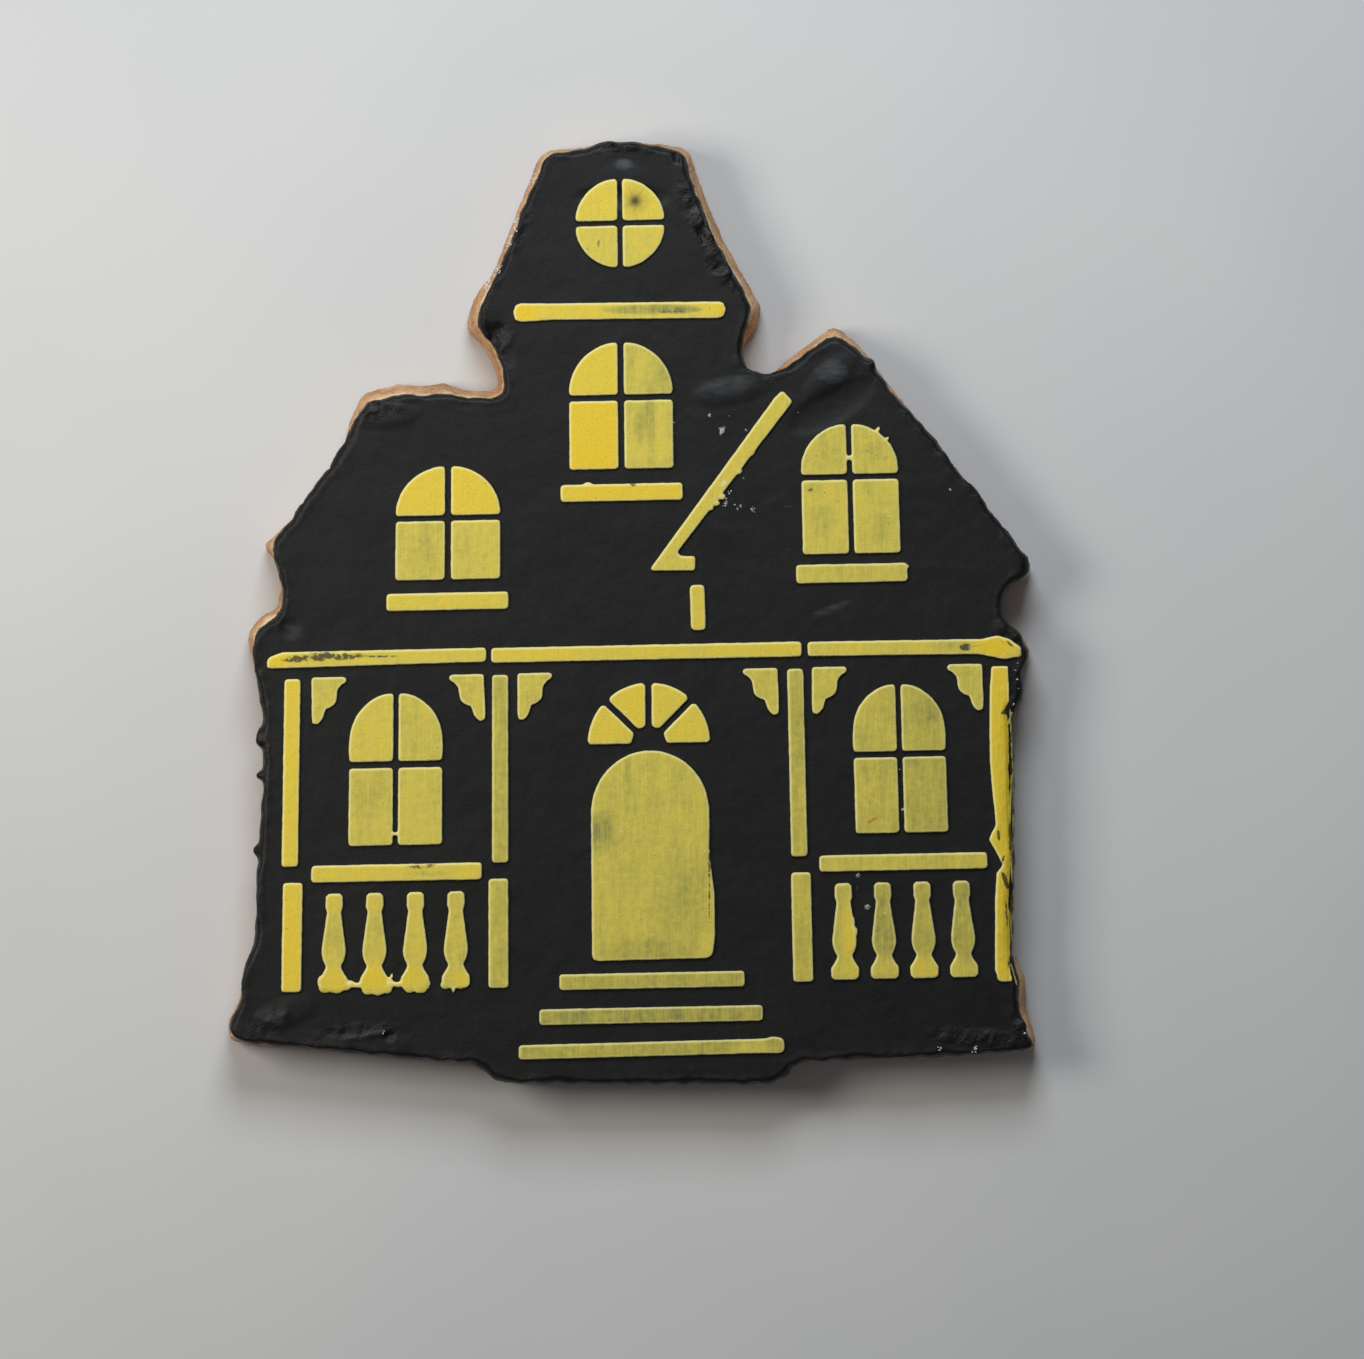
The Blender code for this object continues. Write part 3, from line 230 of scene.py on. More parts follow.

# Drops that ran out of the stencil: node, then x, y, half length, half width and heading of each.
DROPS = {
    "left_balusters_joined": (
        (-36.7, -45.1, 0.9, 0.62, 0), (-35.4, -45.15, 1.0, 0.62, 0), (-34.3, -44.9, 0.7, 0.5, 0),
        (-33.45, -44.55, 0.7, 0.34, -35), (-32.5, -44.6, 0.7, 0.34, 35), (-33.0, -44.85, 0.7, 0.2, 0),
        (-31.6, -45.3, 0.8, 0.65, 0), (-30.4, -45.35, 1.0, 0.65, 0), (-29.3, -45.2, 0.7, 0.6, 0),
        (-28.65, -44.5, 0.7, 0.34, -35), (-27.7, -44.55, 0.7, 0.34, 35), (-28.2, -44.75, 0.7, 0.2, 0),
        (-26.6, -45.1, 0.8, 0.6, 0), (-25.3, -45.15, 0.9, 0.6, 0), (-24.6, -44.5, 0.5, 0.8, 0),
        (-28.8, -43.7, 0.5, 0.18, 80), (-37.3, -44.3, 0.4, 0.8, 0),
    ),
    "left_baluster_4": (
        (-22.3, -44.7, 0.7, 0.55, 0), (-21.35, -45.2, 0.24, 0.5, 0), (-20.5, -44.7, 0.7, 0.5, 0),
    ),
    "right_baluster_1": ((26.5, -37.3, 0.4, 0.9, 0), (26.9, -38.3, 0.3, 0.6, 0)),
    "right_gable_sill": ((33.0, 5.45, 0.45, 0.2, 25),),
    "right_gable_arches": (
        (29.6, 22.0, 0.4, 0.25, 60), (30.7, 20.9, 0.3, 0.22, 20), (30.9, 20.1, 0.3, 0.22, 0),
    ),
    "roof_brace": (
        (14.45, 19.2, 0.5, 0.4, 50), (13.0, 16.9, 0.4, 0.3, 50), (10.9, 13.9, 0.5, 0.4, 0),
        (10.2, 13.1, 0.5, 0.35, 0), (9.5, 12.5, 0.45, 0.3, 0),
    ),
    "tower_sill": ((-5.2, 15.4, 0.55, 0.3, 0),),
    "right_post_spilt": ((44.3, -43.6, 0.5, 0.7, 0),),
    "porch_beam_right": (
        (45.6, -5.05, 1.1, 0.38, 0), (46.25, -4.85, 0.5, 0.5, 0), (46.4, -5.0, 0.5, 0.42, 10),
    ),
}
# How far the spilt post's edges move: how far below the cookie's middle, its left edge, its right edge.
POST_MOVES = (
    (5.0, 0, -0.2), (10.6, 0, -0.2), (11.6, 0, -0.75), (12.6, -0.05, -0.5), (14.0, -0.1, -0.4),
    (18.0, -0.1, -0.45), (21.0, 0.1, -0.4), (23.5, 0.3, -0.4), (25.4, 0.3, -0.3), (26.4, 0.0, -0.25),
    (27.2, -0.2, -0.2), (28.4, -0.05, -0.05), (30.0, 0, -0.3), (33.0, 0, -0.45), (39.0, 0, -0.3),
    (42.5, 0, -0.2), (46.0, 0, 0),
)
POST_LEFT_EDGE = (44.7, 1.2)  # the x where the edge's moves begin, and the width over which they grow
POST_RIGHT_EDGE = (44.5, 1.1)
STRAND_PARTS = 5
STRAND_HALF_HEIGHT = 0.12
STRAND_INSIDE = 0.8  # 0 has the look of the painted edge highlight, 1 that of the icing inside it
STRAND_THIN = 0.9
# Strands of yellow that dragged over the coat's edge: x, y, half width, half length, heading.
STRANDS = (
    (45.55, -14.5, 0.09, 2.6, 2), (45.75, -19.0, 0.08, 4.0, 1), (45.5, -22.5, 0.1, 2.6, -2),
    (45.8, -26.0, 0.1, 1.6, 0), (45.6, -30.5, 0.12, 2.0, 2), (45.8, -34.8, 0.12, 1.6, 0),
    (45.6, -38.5, 0.1, 2.4, 3), (46.1, -42.2, 0.12, 1.6, 12), (45.9, -43.4, 0.1, 1.2, 16),
    (45.35, -12.9, 0.1, 0.9, -20),
)

# The stepped brackets' outline in millimetres from the corner at the post and the beam, and where they sit.
BRACKET_OUTLINE = (
    (0.08, -0.15), (0.4, 0.0), (3.9, 0.0), (4.3, -0.3), (4.1, -0.75), (3.45, -1.2), (3.12, -1.85),
    (3.0, -2.9), (2.5, -3.5), (1.75, -3.8), (1.5, -4.4), (1.15, -5.2), (0.6, -5.65), (0.1, -5.5),
    (0.0, -4.4),
)
BRACKETS = ((-39.0, 1), (-18.15, -1), (-14.3, 1), (17.1, -1), (21.05, 1), (41.65, -1))
BRACKET_TOP = -7.1
BRACKET_THICKNESS = 0.48
DROP_DEPTH = 0.3  # how far under the icing's top the middle of a drop lies
DROP_HALF_HEIGHT = 0.28
STENCIL_TURN = math.radians(1.2)
STENCIL_AT = (0.37, 0.12)

# White sugar grains: x, y, how many, how widely they lie.
DUST = (
    (9.3, 23.7, 2, 0.2), (10.8, 21.8, 3, 0.6), (13.7, 22.0, 2, 0.2), (13.4, 16.1, 1, 0.1),
    (12.9, 12.6, 3, 0.5), (14.5, 12.3, 3, 0.5), (11.4, 13.2, 6, 0.5), (11.8, 14.4, 3, 0.5),
    (38.2, 14.8, 2, 0.15), (20.0, 24.0, 1, 0.1), (46.4, -6.2, 1, 0.1), (46.1, -6.9, 2, 0.15),
    (46.3, -8.0, 1, 0.1), (46.4, -9.1, 1, 0.1), (45.9, -11.0, 2, 0.15), (28.3, -35.3, 3, 0.5),
    (27.1, -31.6, 2, 0.3), (5.1, 22.8, 1, 0.05), (-1.0, -26.0, 3, 0.5),
)
# White crystals along the coat's edge: x, y, half length, heading, how many.
CRYSTALS = (
    (-11.9, 52.2, 0.8, 60, 14), (-13.9, 46.6, 0.9, 80, 24), (-14.7, 44.7, 0.7, 70, 20),
    (-16.2, 41.0, 0.9, 65, 20), (-17.3, 39.5, 0.7, 60, 24), (-48.0, -50.8, 0.6, 80, 8),
    (41.2, -52.5, 0.5, 30, 8), (37.0, -52.4, 0.2, 0, 4), (-29.8, -50.5, 0.2, 0, 3),
    (47.4, -50.2, 0.4, 60, 4),
)
TAN_CRUMBS = ((32.6, -23.6, 0.55), (32.2, -18.8, 0.28), (32.8, -22.6, 0.25))

# Lamps: name, place in metres, size, power and tint.
LAMPS = (
    ("warm_left_lamp", (-0.22, 0.04, 0.25), 0.14, 0.53, (1.0, 0.93, 0.83)),
    ("cool_window", (0.0, 0.24, 0.28), 0.17, 0.85, (0.88, 0.94, 1.0)),
)
ROOM_TINT = (0.92, 0.96, 1.0, 1.0)
ROOM_LIGHT = 0.1
FLOOR_SIZE = 4.0  # in metres

# The camera looks straight down at the middle of the view, and the view is this wide at the icing's top.
VIEW_MIDDLE = (6.07, -8.02)
VIEW_WIDTH = 163.7
CAMERA_HEIGHT = 1500.0
SENSOR_WIDTH = 36.0


def colour(red, green, blue):
    """A colour as it is seen, from 0 to 255, as the linear one that materials take."""
    linear = []
    for part in (red / 255, green / 255, blue / 255):
        linear.append(part / 12.92 if part <= 0.04045 else ((part + 0.055) / 1.055) ** 2.4)
    return (*linear, 1.0)


class Amount:
    """A value that runs through a material's nodes and can be used in sums."""

    def __init__(self, finish, socket):
        self.finish = finish
        self.socket = socket

    def combined(self, operation, first, second):
        return self.finish.node("ShaderNodeMath", {"operation": operation}, {0: first, 1: second})

    def __add__(self, other):
        return self.combined("ADD", self, other)

    def __radd__(self, other):
        return self.combined("ADD", other, self)

    def __sub__(self, other):
        return self.combined("SUBTRACT", self, other)

    def __rsub__(self, other):
        return self.combined("SUBTRACT", other, self)

    def __mul__(self, other):
        return self.combined("MULTIPLY", self, other)

    def __rmul__(self, other):
        return self.combined("MULTIPLY", other, self)

    def either(self, other):
        """Whichever of the two is greater, up to 1."""
        return self.combined("MINIMUM", self.combined("MAXIMUM", self, other), 1.0)

    def within(self, low, high):
        """0 below low, 1 above high, and smooth between them."""
        sockets = {"Value": self, "From Min": low, "From Max": high}
        return self.finish.node("ShaderNodeMapRange", {"interpolation_type": "SMOOTHSTEP"}, sockets)


class Finish:
    """A material and the nodes it is made of."""

    def __init__(self, name, roughness, shine=0.5):
        self.material = bpy.data.materials.new(name)
        self.material.use_nodes = True
        self.nodes = self.material.node_tree.nodes
        self.links = self.material.node_tree.links
        self.shader = self.nodes["Principled BSDF"]
        self.shader.inputs["Roughness"].default_value = roughness
        self.shader.inputs["Specular IOR Level"].default_value = shine
        self.place = self.node("ShaderNodeTexCoord", {}, {}, "Object")

    def node(self, kind, settings, sockets, output=0):
        made = self.nodes.new(kind)
        for key, value in settings.items():
            if key == "stops":
                ramp = made.color_ramp
                while len(ramp.elements) < len(value):
                    ramp.elements.new(1.0)
                for element, (position, tint) in zip(ramp.elements, value):
                    element.position = position
                    element.color = tint
            else:
                setattr(made, key, value)
        for key, value in sockets.items():
            self.feed(made.inputs[key], value)
        return Amount(self, made.outputs[output])

    def feed(self, socket, value):
        if isinstance(value, Amount):
            self.links.new(value.socket, socket)
        else:
            socket.default_value = value

    def speckle(self, size, detail=3.0, stretch=(1.0, 1.0, 1.0)):
        """Noise with lumps of about this size in millimetres, drawn out along the axes by stretch."""
        scale = tuple(1.0 / along for along in stretch)
        drawn = self.node("ShaderNodeMapping", {}, {"Vector": self.place, "Scale": scale})
        sockets = {"Vector": drawn, "Scale": 1.0 / (size * MM), "Detail": detail, "Roughness": 0.55}
        return self.node("ShaderNodeTexNoise", {}, sockets)

    def pebbles(self, scale):
        """How far each place is from the middle of its cell, with this many cells to a metre."""
        sockets = {"Vector": self.place, "Scale": scale, "Randomness": 1.0}
        return self.node("ShaderNodeTexVoronoi", {}, sockets)

    def attribute(self, name):
        return self.node("ShaderNodeAttribute", {"attribute_name": name}, {}, "Fac")

    def mix(self, share, first, second):
        made = self.nodes.new("ShaderNodeMix")
        made.data_type = "RGBA"
        for socket, value in zip((made.inputs[0], made.inputs[6], made.inputs[7]), (share, first, second)):
            self.feed(socket, value)
        return Amount(self, made.outputs[2])

    def paint(self, tint):
        self.feed(self.shader.inputs["Base Color"], tint)

    def relief(self, heights):
        """Bumps in layers of (height, distance in millimetres)."""
        normal = None
        for height, distance in heights:
            sockets = {"Height": height, "Distance": distance * MM, "Strength": 1.0}
            if normal is not None:
                sockets["Normal"] = normal
            normal = self.node("ShaderNodeBump", {}, sockets)
        self.feed(self.shader.inputs["Normal"], normal)


def baked_crust():
    """Golden crust, gritty and mottled, browner at the foot; painted highlights on its grains and its rim
    under the icing.
    """
    look = Finish("baked_crust", 0.85, 0.25)
    height = look.node("ShaderNodeSeparateXYZ", {}, {"Vector": look.place}, "Z") * (1 / MM)
    mottle = look.speckle(3.2, 4.0)
    sand = look.speckle(0.45, 3.0)
    pores = look.pebbles(1100.0)
    golden = look.mix(mottle.within(0.35, 0.65), colour(182, 134, 94), colour(212, 170, 128))
    foot = 1.0 - (height + (mottle - 0.5) * 2.0).within(0.3, 2.6)
    browned = look.mix(foot * 0.75, golden, colour(142, 84, 48))
    # Painted highlight: the top rim, under the icing's edge, turns pale cream where it catches the light.
    rim = (height + (sand - 0.5) * 1.0).within(5.3, 6.0)
    rim_lit = look.mix(rim * 0.8, browned, colour(226, 202, 165))
    # Pale flecks of sand, partly painted highlights on the crust's grains.
    sand_glints = look.mix(sand.within(0.45, 0.75) * 0.35, rim_lit, colour(232, 205, 160))
    pits = (1.0 - pores.within(0.05, 0.35)) * sand.within(0.4, 0.6)
    look.paint(look.mix(pits * 0.55, sand_glints, colour(98, 56, 32)))
    look.relief(((mottle, 0.25), (sand, 0.14), (pores.within(0.0, 0.4), 0.1)))
    return look.material


def black_royal_icing():
    """Dried black icing: satin, with a fine grain, the scraper's marks, pale scuffs, painted sheens and white
    powder.
    """
    look = Finish("black_royal_icing", 0.5, 0.32)
    clouds = look.speckle(9.0, 3.0)
    mottle = look.speckle(1.6, 4.0)
    grain = look.speckle(0.22, 2.0)
    drag = look.speckle(0.5, 3.0, (1.0, 16.0, 1.0))
    brushed = look.speckle(0.5, 4.0, (4.0, 1.2, 1.0))
    flakes = look.pebbles(950.0)
    scuff = look.attribute("scuff")
    torn = look.attribute("broken")
    base = look.mix(clouds.within(0.3, 0.7), colour(7, 7, 8), colour(11, 11, 11))
    flecked = look.mix((mottle * grain).within(0.3, 0.42) * 0.25, base, colour(30, 29, 28))
    # Painted sheen: the scuffs also lay pale blue-grey sheens and glints into the coat's colour.
    rubbed_and_sheen = (scuff * (brushed * 1.1 + mottle * 0.4)).within(0.2, 0.85)
    scuffed_and_sheened = look.mix(rubbed_and_sheen * 0.6, flecked, colour(88, 95, 101))
    bared = look.mix((torn * mottle).within(0.45, 0.7) * 0.35, scuffed_and_sheened, colour(58, 44, 36))
    strewn_over = (look.attribute("powder") * (0.35 + grain * 1.1)).within(0.3, 0.75)
    look.paint(look.mix(strewn_over * 0.8, bared, colour(205, 204, 200)))
    roughness = 0.42 + mottle * 0.16 + grain * 0.08 - torn * 0.08
    look.feed(look.shader.inputs["Roughness"], roughness)
    ripped = torn * (mottle.within(0.35, 0.6) + flakes.within(0.0, 0.6) * 0.6)
    look.relief(((clouds, 0.2), (ripped, 0.1), (mottle, 0.05), (grain, 0.02), (drag, 0.008)))
    return look.material


def yellow_royal_icing():
    """Yellow icing with a painted edge highlight and the scraper's upright streaks, greyer where black shows
    through.
    """
    look = Finish("yellow_royal_icing", 0.6, 0.28)
    inside = look.attribute("inside")
    thin = look.attribute("thin")
    smudge = look.attribute("smudge")
    streaks = look.speckle(0.26, 2.0, (1.0, 12.0, 1.0))
    bands = look.speckle(1.1, 2.0, (1.0, 8.0, 1.0))
    clouds = look.speckle(2.4, 2.0)
    grain = look.speckle(0.24, 3.0)
    specks = look.speckle(0.34, 1.0)
    blotches = look.speckle(0.8, 3.0)
    uneven = (streaks - 0.5) * 0.7 + (bands - 0.5) * 0.8 + (clouds - 0.5) * 0.5 + (blotches - 0.5) * 0.9
    worn = thin + uneven * (0.2 + thin * 0.5)
    tones = ((0.0, colour(236, 202, 48)), (0.22, colour(230, 204, 68)), (0.45, colour(214, 197, 84)),
             (0.75, colour(180, 171, 78)), (1.0, colour(136, 133, 78)))
    streaked = look.node("ShaderNodeValToRGB", {"stops": tones}, {"Fac": worn})
    grained = look.mix(grain.within(0.46, 0.74) * 0.24, streaked, colour(158, 148, 60))
    specked = look.mix(specks.within(0.72, 0.78) * 0.5, grained, colour(98, 92, 40))
    # Painted highlight: a pale cream band along each piece's edge, where its rounded rim catches the light.
    edge_highlight = (1.0 - inside + (grain - 0.5) * 0.3).within(0.3, 0.75)
    edge_lit = look.mix(edge_highlight * (0.62 - thin * 0.15), specked, colour(243, 237, 170))
    crust = (look.attribute("crust") * (0.1 + grain * 1.5)).within(0.35, 0.75)
    crusted = look.mix(crust * 0.75, edge_lit, colour(234, 228, 190))
    blots = look.speckle(0.5, 1.0, (1.2, 1.0, 1.0)).within(0.38, 0.6)
    blackened = (smudge * (0.4 + streaks * 0.25 + grain * 0.25 + blots * 0.5)).within(0.3, 0.78)
    darkened = (blackened * 0.88).either(look.attribute("burst") * (0.75 + grain * 0.4))
    smudged = look.mix(darkened, crusted, colour(50, 50, 42))
    reddened = (look.attribute("scraped_red") * (0.5 + grain)).within(0.4, 0.8)
    look.paint(look.mix(reddened * 0.7, smudged, colour(188, 118, 48)))
    look.feed(look.shader.inputs["Roughness"], 0.5 + worn * 0.15)
    look.relief(((bands, 0.05), (grain, 0.03), (streaks, 0.025)))
    return look.material


def sugar_dust():
    """Grains of white sugar."""
    look = Finish("sugar_dust", 0.5)
    look.paint(look.mix(look.speckle(0.3), colour(232, 228, 218), colour(196, 190, 178)))
    return look.material


def tan_crumb():
    """Crumbs of the biscuit."""
    look = Finish("tan_crumb", 0.85)
    sand = look.speckle(0.18)
    look.paint(look.mix(sand.within(0.35, 0.65), colour(170, 122, 78), colour(212, 172, 124)))
    look.relief(((sand, 0.05),))
    return look.material


def pale_floor():
    """A plain pale surface for the cookie to lie on."""
    look = Finish("pale_floor", 0.6, 0.2)
    clouds = look.speckle(60.0, 2.0)
    look.paint(look.mix(clouds.within(0.2, 0.8), colour(205, 206, 207), colour(212, 212, 211)))
    return look.material


def take_up(piece, others=()):
    """Makes one piece the active one, and selects only it and these others."""
    bpy.ops.object.select_all(action="DESELECT")
    for chosen in (*others, piece):
        chosen.select_set(True)
    bpy.context.view_layer.objects.active = piece


def applied(piece, kind, **settings):
    """Adds a modifier to the piece in hand and applies it."""
    modifier = piece.modifiers.new(kind.lower(), kind)
    for key, value in settings.items():
        setattr(modifier, key, value)
    take_up(piece)
    bpy.ops.object.modifier_apply(modifier=modifier.name)


def copied(node, name):
    """A new piece that starts as a node's mesh, with its loose triangles merged."""
    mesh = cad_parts[node].data.copy()
    mesh.materials.clear()
    piece = bpy.data.objects.new(name, mesh)
    bpy.context.scene.collection.objects.link(piece)
    take_up(piece)
    bpy.ops.object.mode_set(mode="EDIT")
    bpy.ops.mesh.select_all(action="SELECT")
    bpy.ops.mesh.remove_doubles(threshold=0.002 * MM)
    bpy.ops.object.mode_set(mode="OBJECT")
    return piece


def points_of(piece):
    """The piece's vertices in millimetres."""
    points = np.empty(len(piece.data.vertices) * 3)
    piece.data.vertices.foreach_get("co", points)
    return points.reshape(-1, 3) / MM


def move_points(piece, points):
    piece.data.vertices.foreach_set("co", (points * MM).ravel())
    piece.data.update()


def reach_in(points, x, y, half_length, half_width, heading):
    """How far out each point lies in an oval, from 0 at its middle to 1 at its edge, squared."""
    angle = math.radians(heading)
    across = points[:, 0] - x
    up = points[:, 1] - y
    along = (across * math.cos(angle) + up * math.sin(angle)) / half_length
    aside = (up * math.cos(angle) - across * math.sin(angle)) / half_width
    return along ** 2 + aside ** 2


def spotted(points, spots, softness=0.7):
    """For each point, how strongly the spots cover it."""
    covered = np.zeros(len(points))
    for *oval, strength in spots:
        covered = np.maximum(covered, strength * np.clip(1 - reach_in(points, *oval), 0, 1) ** softness)
    return covered


def burst(points, x, y, core, reach):
    """How black each point is in a burst with a soft core and thin uneven rays."""
    across = points[:, 0] - x
    up = points[:, 1] - y
    distance = np.hypot(across, up)
    heading = np.arctan2(up, across)
    rays = np.clip(0.45 + 0.4 * np.sin(7 * heading + 1.0) + 0.35 * np.sin(12 * heading + 2.3), 0, 1) ** 2
    halo = np.clip(1 - distance / reach, 0, 1) ** 2 * (0.45 + 0.5 * rays)
    return np.maximum(np.exp(-(distance / core) ** 2), halo)


def wander(points, size):
    """A smooth uneven value from -1 to 1 that changes over this many millimetres."""
    x = points[:, 0] / size
    y = points[:, 1] / size
    return (np.sin(2.1 * x + 1.7 * np.sin(1.3 * y + 0.4)) + np.sin(1.9 * y + 1.4 * np.sin(1.7 * x + 2.0))) / 2


def keep_in_box(piece):
    """Holds the piece's points inside the box that the solids fill."""
    points = points_of(piece)
    move_points(piece, np.clip(points, np.array(cad_box[0]) / MM, np.array(cad_box[1]) / MM))


def keep_values(piece, name, values):
    """Stores one number for each vertex, for the material to read."""
    attribute = piece.data.attributes.new(name, "FLOAT", "POINT")
    attribute.data.foreach_set("value", np.asarray(values, dtype=np.float32))


def grouped(piece, name, weights):
    """A vertex group with these weights."""
    group = piece.vertex_groups.new(name=name)
    steps = 20
    levels = np.round(weights * steps).astype(int)
    for level in range(1, levels.max() + 1):
        group.add(np.nonzero(levels == level)[0].tolist(), level / steps, "REPLACE")
    return name


def clouds_texture(name, size, depth=2):
    texture = bpy.data.textures.new(name, "CLOUDS")
    texture.noise_scale = size * MM
    texture.noise_depth = depth
    return texture


def crags_texture(name, size):
    texture = bpy.data.textures.new(name, "VORONOI")
    texture.noise_scale = size * MM
    texture.distance_metric = "DISTANCE"
    return texture


def roughened(piece, texture, depth, group="", direction="NORMAL", middle=0.5):
    """Raises and lowers the piece by a texture."""
    applied(piece, "DISPLACE", texture=texture, texture_coords="LOCAL", strength=depth * MM, mid_level=middle,
            vertex_group=group, direction=direction)


def raised(piece, group, height):
    """Raises the piece evenly where a vertex group covers it."""
    applied(piece, "DISPLACE", strength=height * MM, mid_level=0.0, vertex_group=group, direction="Z")


def finished(piece, material):
    """Gives a piece its material and shading, and lets it ride on the cookie."""
    piece.data.materials.clear()
    piece.data.materials.append(material)
    take_up(piece)
    bpy.ops.object.shade_smooth()
    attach(piece, "root")
    return piece


def bake_biscuit():
    """The biscuit, with its flank coarse and swollen."""
    piece = copied("biscuit", "baked_biscuit")
    applied(piece, "REMESH", mode="VOXEL", voxel_size=BISCUIT_VOXEL * MM)
    points = points_of(piece)
    side = np.clip(points[:, 2] / 0.8, 0, 1) * np.clip((BISCUIT_TOP + 0.3 - points[:, 2]) / 0.8, 0, 1)
    side = grouped(piece, "side", side)
    for name, (size, rise), detail in (("baked_swell", BAKED_SWELL, 2), ("baked_crumb", BAKED_CRUMB, 3)):
        roughened(piece, clouds_texture(name, size, detail), rise, side, middle=BAKED_MIDDLE)
    points = points_of(piece)
    points[:, 2] = np.minimum(points[:, 2], COAT_BASE + 0.3)
    move_points(piece, points)
    keep_in_box(piece)
    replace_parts(finished(piece, baked_crust()), "biscuit")
    return piece


def outward_of(lines, which):
    """The level direction out of each of these lines of an outline."""
    runs = (lines[:, 2:] - lines[:, :2])[which]
    return np.stack((runs[:, 1], -runs[:, 0]), axis=1) / np.linalg.norm(runs, axis=1)[:, None]


def spread_rim(piece, lines):
    """Lets the coat's rim run further out in places and wander, and says how far in each point is."""
    points = points_of(piece)
    depth, which, _ = depth_inside(points, lines)
    outward = outward_of(lines, which)
    push = spotted(points, SPREAD) * SPREAD_REACH + RIM_WANDER[1] * wander(points, RIM_WANDER[0])
    points[:, :2] += outward * (push * np.clip(1.2 - depth / 1.2, 0, 1))[:, None]
    move_points(piece, points)
    return depth


def sharpen_rim(piece, depth):
    """Fills the coat's evenly rounded rim out to a sharper one, whose width wanders."""
    points = points_of(piece)
    thickness = COAT_TOP - COAT_BASE
    height = (points[:, 2] - COAT_BASE) / thickness
    length, reach, middle = SHARP_WANDER
    width = middle + reach * wander(points, length)
    share = np.clip(depth / width, 0, 1)
    filled = RIM_HEIGHTS[0] + (1 - RIM_HEIGHTS[0]) * np.sqrt(share * (2 - share))
    rounded = np.interp(depth, RIM_DEPTHS, RIM_HEIGHTS)
    over = np.clip((height - RIM_HEIGHTS[0]) / np.maximum(rounded - RIM_HEIGHTS[0], 0.08), 0, 1)
    points[:, 2] += (filled - rounded) * over * thickness
    level = np.clip((over - 0.5) / 0.35, 0, 1)
    points[:, 2] += np.maximum(COAT_BASE + filled * thickness - points[:, 2], 0) * level
    move_points(piece, points)


def lump(x, y, z, half_length, half_width, half_height, heading=0.0):
    """A flattened ball for a raised shred or a drop of icing."""
    bpy.ops.mesh.primitive_uv_sphere_add(segments=10, ring_count=6, radius=MM)
    ball = bpy.context.object
    turn = Matrix.Rotation(math.radians(heading), 4, "Z")
    scale = Matrix.Diagonal((half_length, half_width, half_height, 1.0))
    ball.data.transform(Matrix.Translation(Vector((x, y, z)) * MM) @ turn @ scale)
    return ball


def joined(piece, others):
    """Makes the other pieces part of this one."""
    take_up(piece, others)
    bpy.ops.object.join()


def struck_from_above(piece, x, y):
    """Whether a ray straight down at this place strikes the piece, and where."""
    return piece.ray_cast(Vector((x, y, RAY_HEIGHT)) * MM, Vector((0, 0, -1)))[:2]


def ridge_lumps(coat):
    """The lumps of all the torn ridges, each turned roughly along its ridge and well on the coat."""
    lumps = []
    for x0, y0, x1, y1, count, width, rise in RIDGES:
        heading = math.degrees(math.atan2(y1 - y0, x1 - x0))
        for number in range(count):
            share = (number + rng.uniform(0.2, 0.8)) / count
            x = x0 + (x1 - x0) * share + rng.gauss(0, width * 0.25)
            y = y0 + (y1 - y0) * share + rng.gauss(0, width * 0.25)
            if not all(struck_from_above(coat, x + dx, y + dy)[0] for dx, dy in LUMP_FOOTING):
                continue
            half = width * rng.uniform(0.5, 1.0)
            thick = rise * rng.uniform(0.3, 0.9) + LUMP_ROOT
            narrow = half * rng.uniform(0.3, 0.6)
            lumps.append(lump(x, y, COAT_TOP - LUMP_ROOT, half, narrow, thick, heading + rng.gauss(0, 30)))
    return lumps


def settle_coat(piece):
    """Lets the coat down onto the biscuit and up to its poured thickness, without the brackets' relief."""
    points = points_of(piece)
    flattened = points[:, 2] > BRACKET_LEVEL
    points[flattened, 2] = CAD_COAT_TOP
    over = points[:, 2] > CAD_COAT_BASE
    stretched = COAT_BASE + (points[:, 2] - CAD_COAT_BASE) * COAT_STRETCH
    lowered = points[:, 2] - CAD_COAT_BASE + COAT_BASE
    points[:, 2] = np.where(over, stretched, lowered)
    move_points(piece, points)


def thin_underside(piece, lines):
    """Makes the coat's flat underside plainer, well inside its outline."""
    points = points_of(piece)
    under = (points[:, 2] < COAT_BASE + 0.12) & (depth_inside(points, lines)[0] > 1.0)
    applied(piece, "DECIMATE", ratio=UNDERSIDE_SHARE, vertex_group=grouped(piece, "under", under * 1.0))


def smooth_rim(piece, depth):
    """Smooths the rim's flank and shoulder, but not the foot it stands on."""
    over_foot = np.clip((points_of(piece)[:, 2] - COAT_BASE) / 0.3, 0, 1)
    rim = grouped(piece, "rim", np.clip(1.6 - depth / 1.2, 0, 1) * over_foot)
    applied(piece, "SMOOTH", factor=0.5, iterations=4, vertex_group=rim)


def lower_crest(piece, depth, upper):
    """Takes down what the ragged brim raised over the coat's top, and half fills the dent."""
    points = points_of(piece)
    crest = np.maximum(points[:, 2] - COAT_TOP, 0) * np.clip(3.0 - depth, 0, 1)
    points[:, 2] -= crest * CREST_SHARE
    sunk = np.clip(COAT_TOP - points[:, 2], 0, 2) * np.clip((depth - 0.3) / 0.7, 0, 1) * upper
    points[:, 2] += sunk * spotted(points, (DENT,)) * DENT_FILL
    move_points(piece, points)


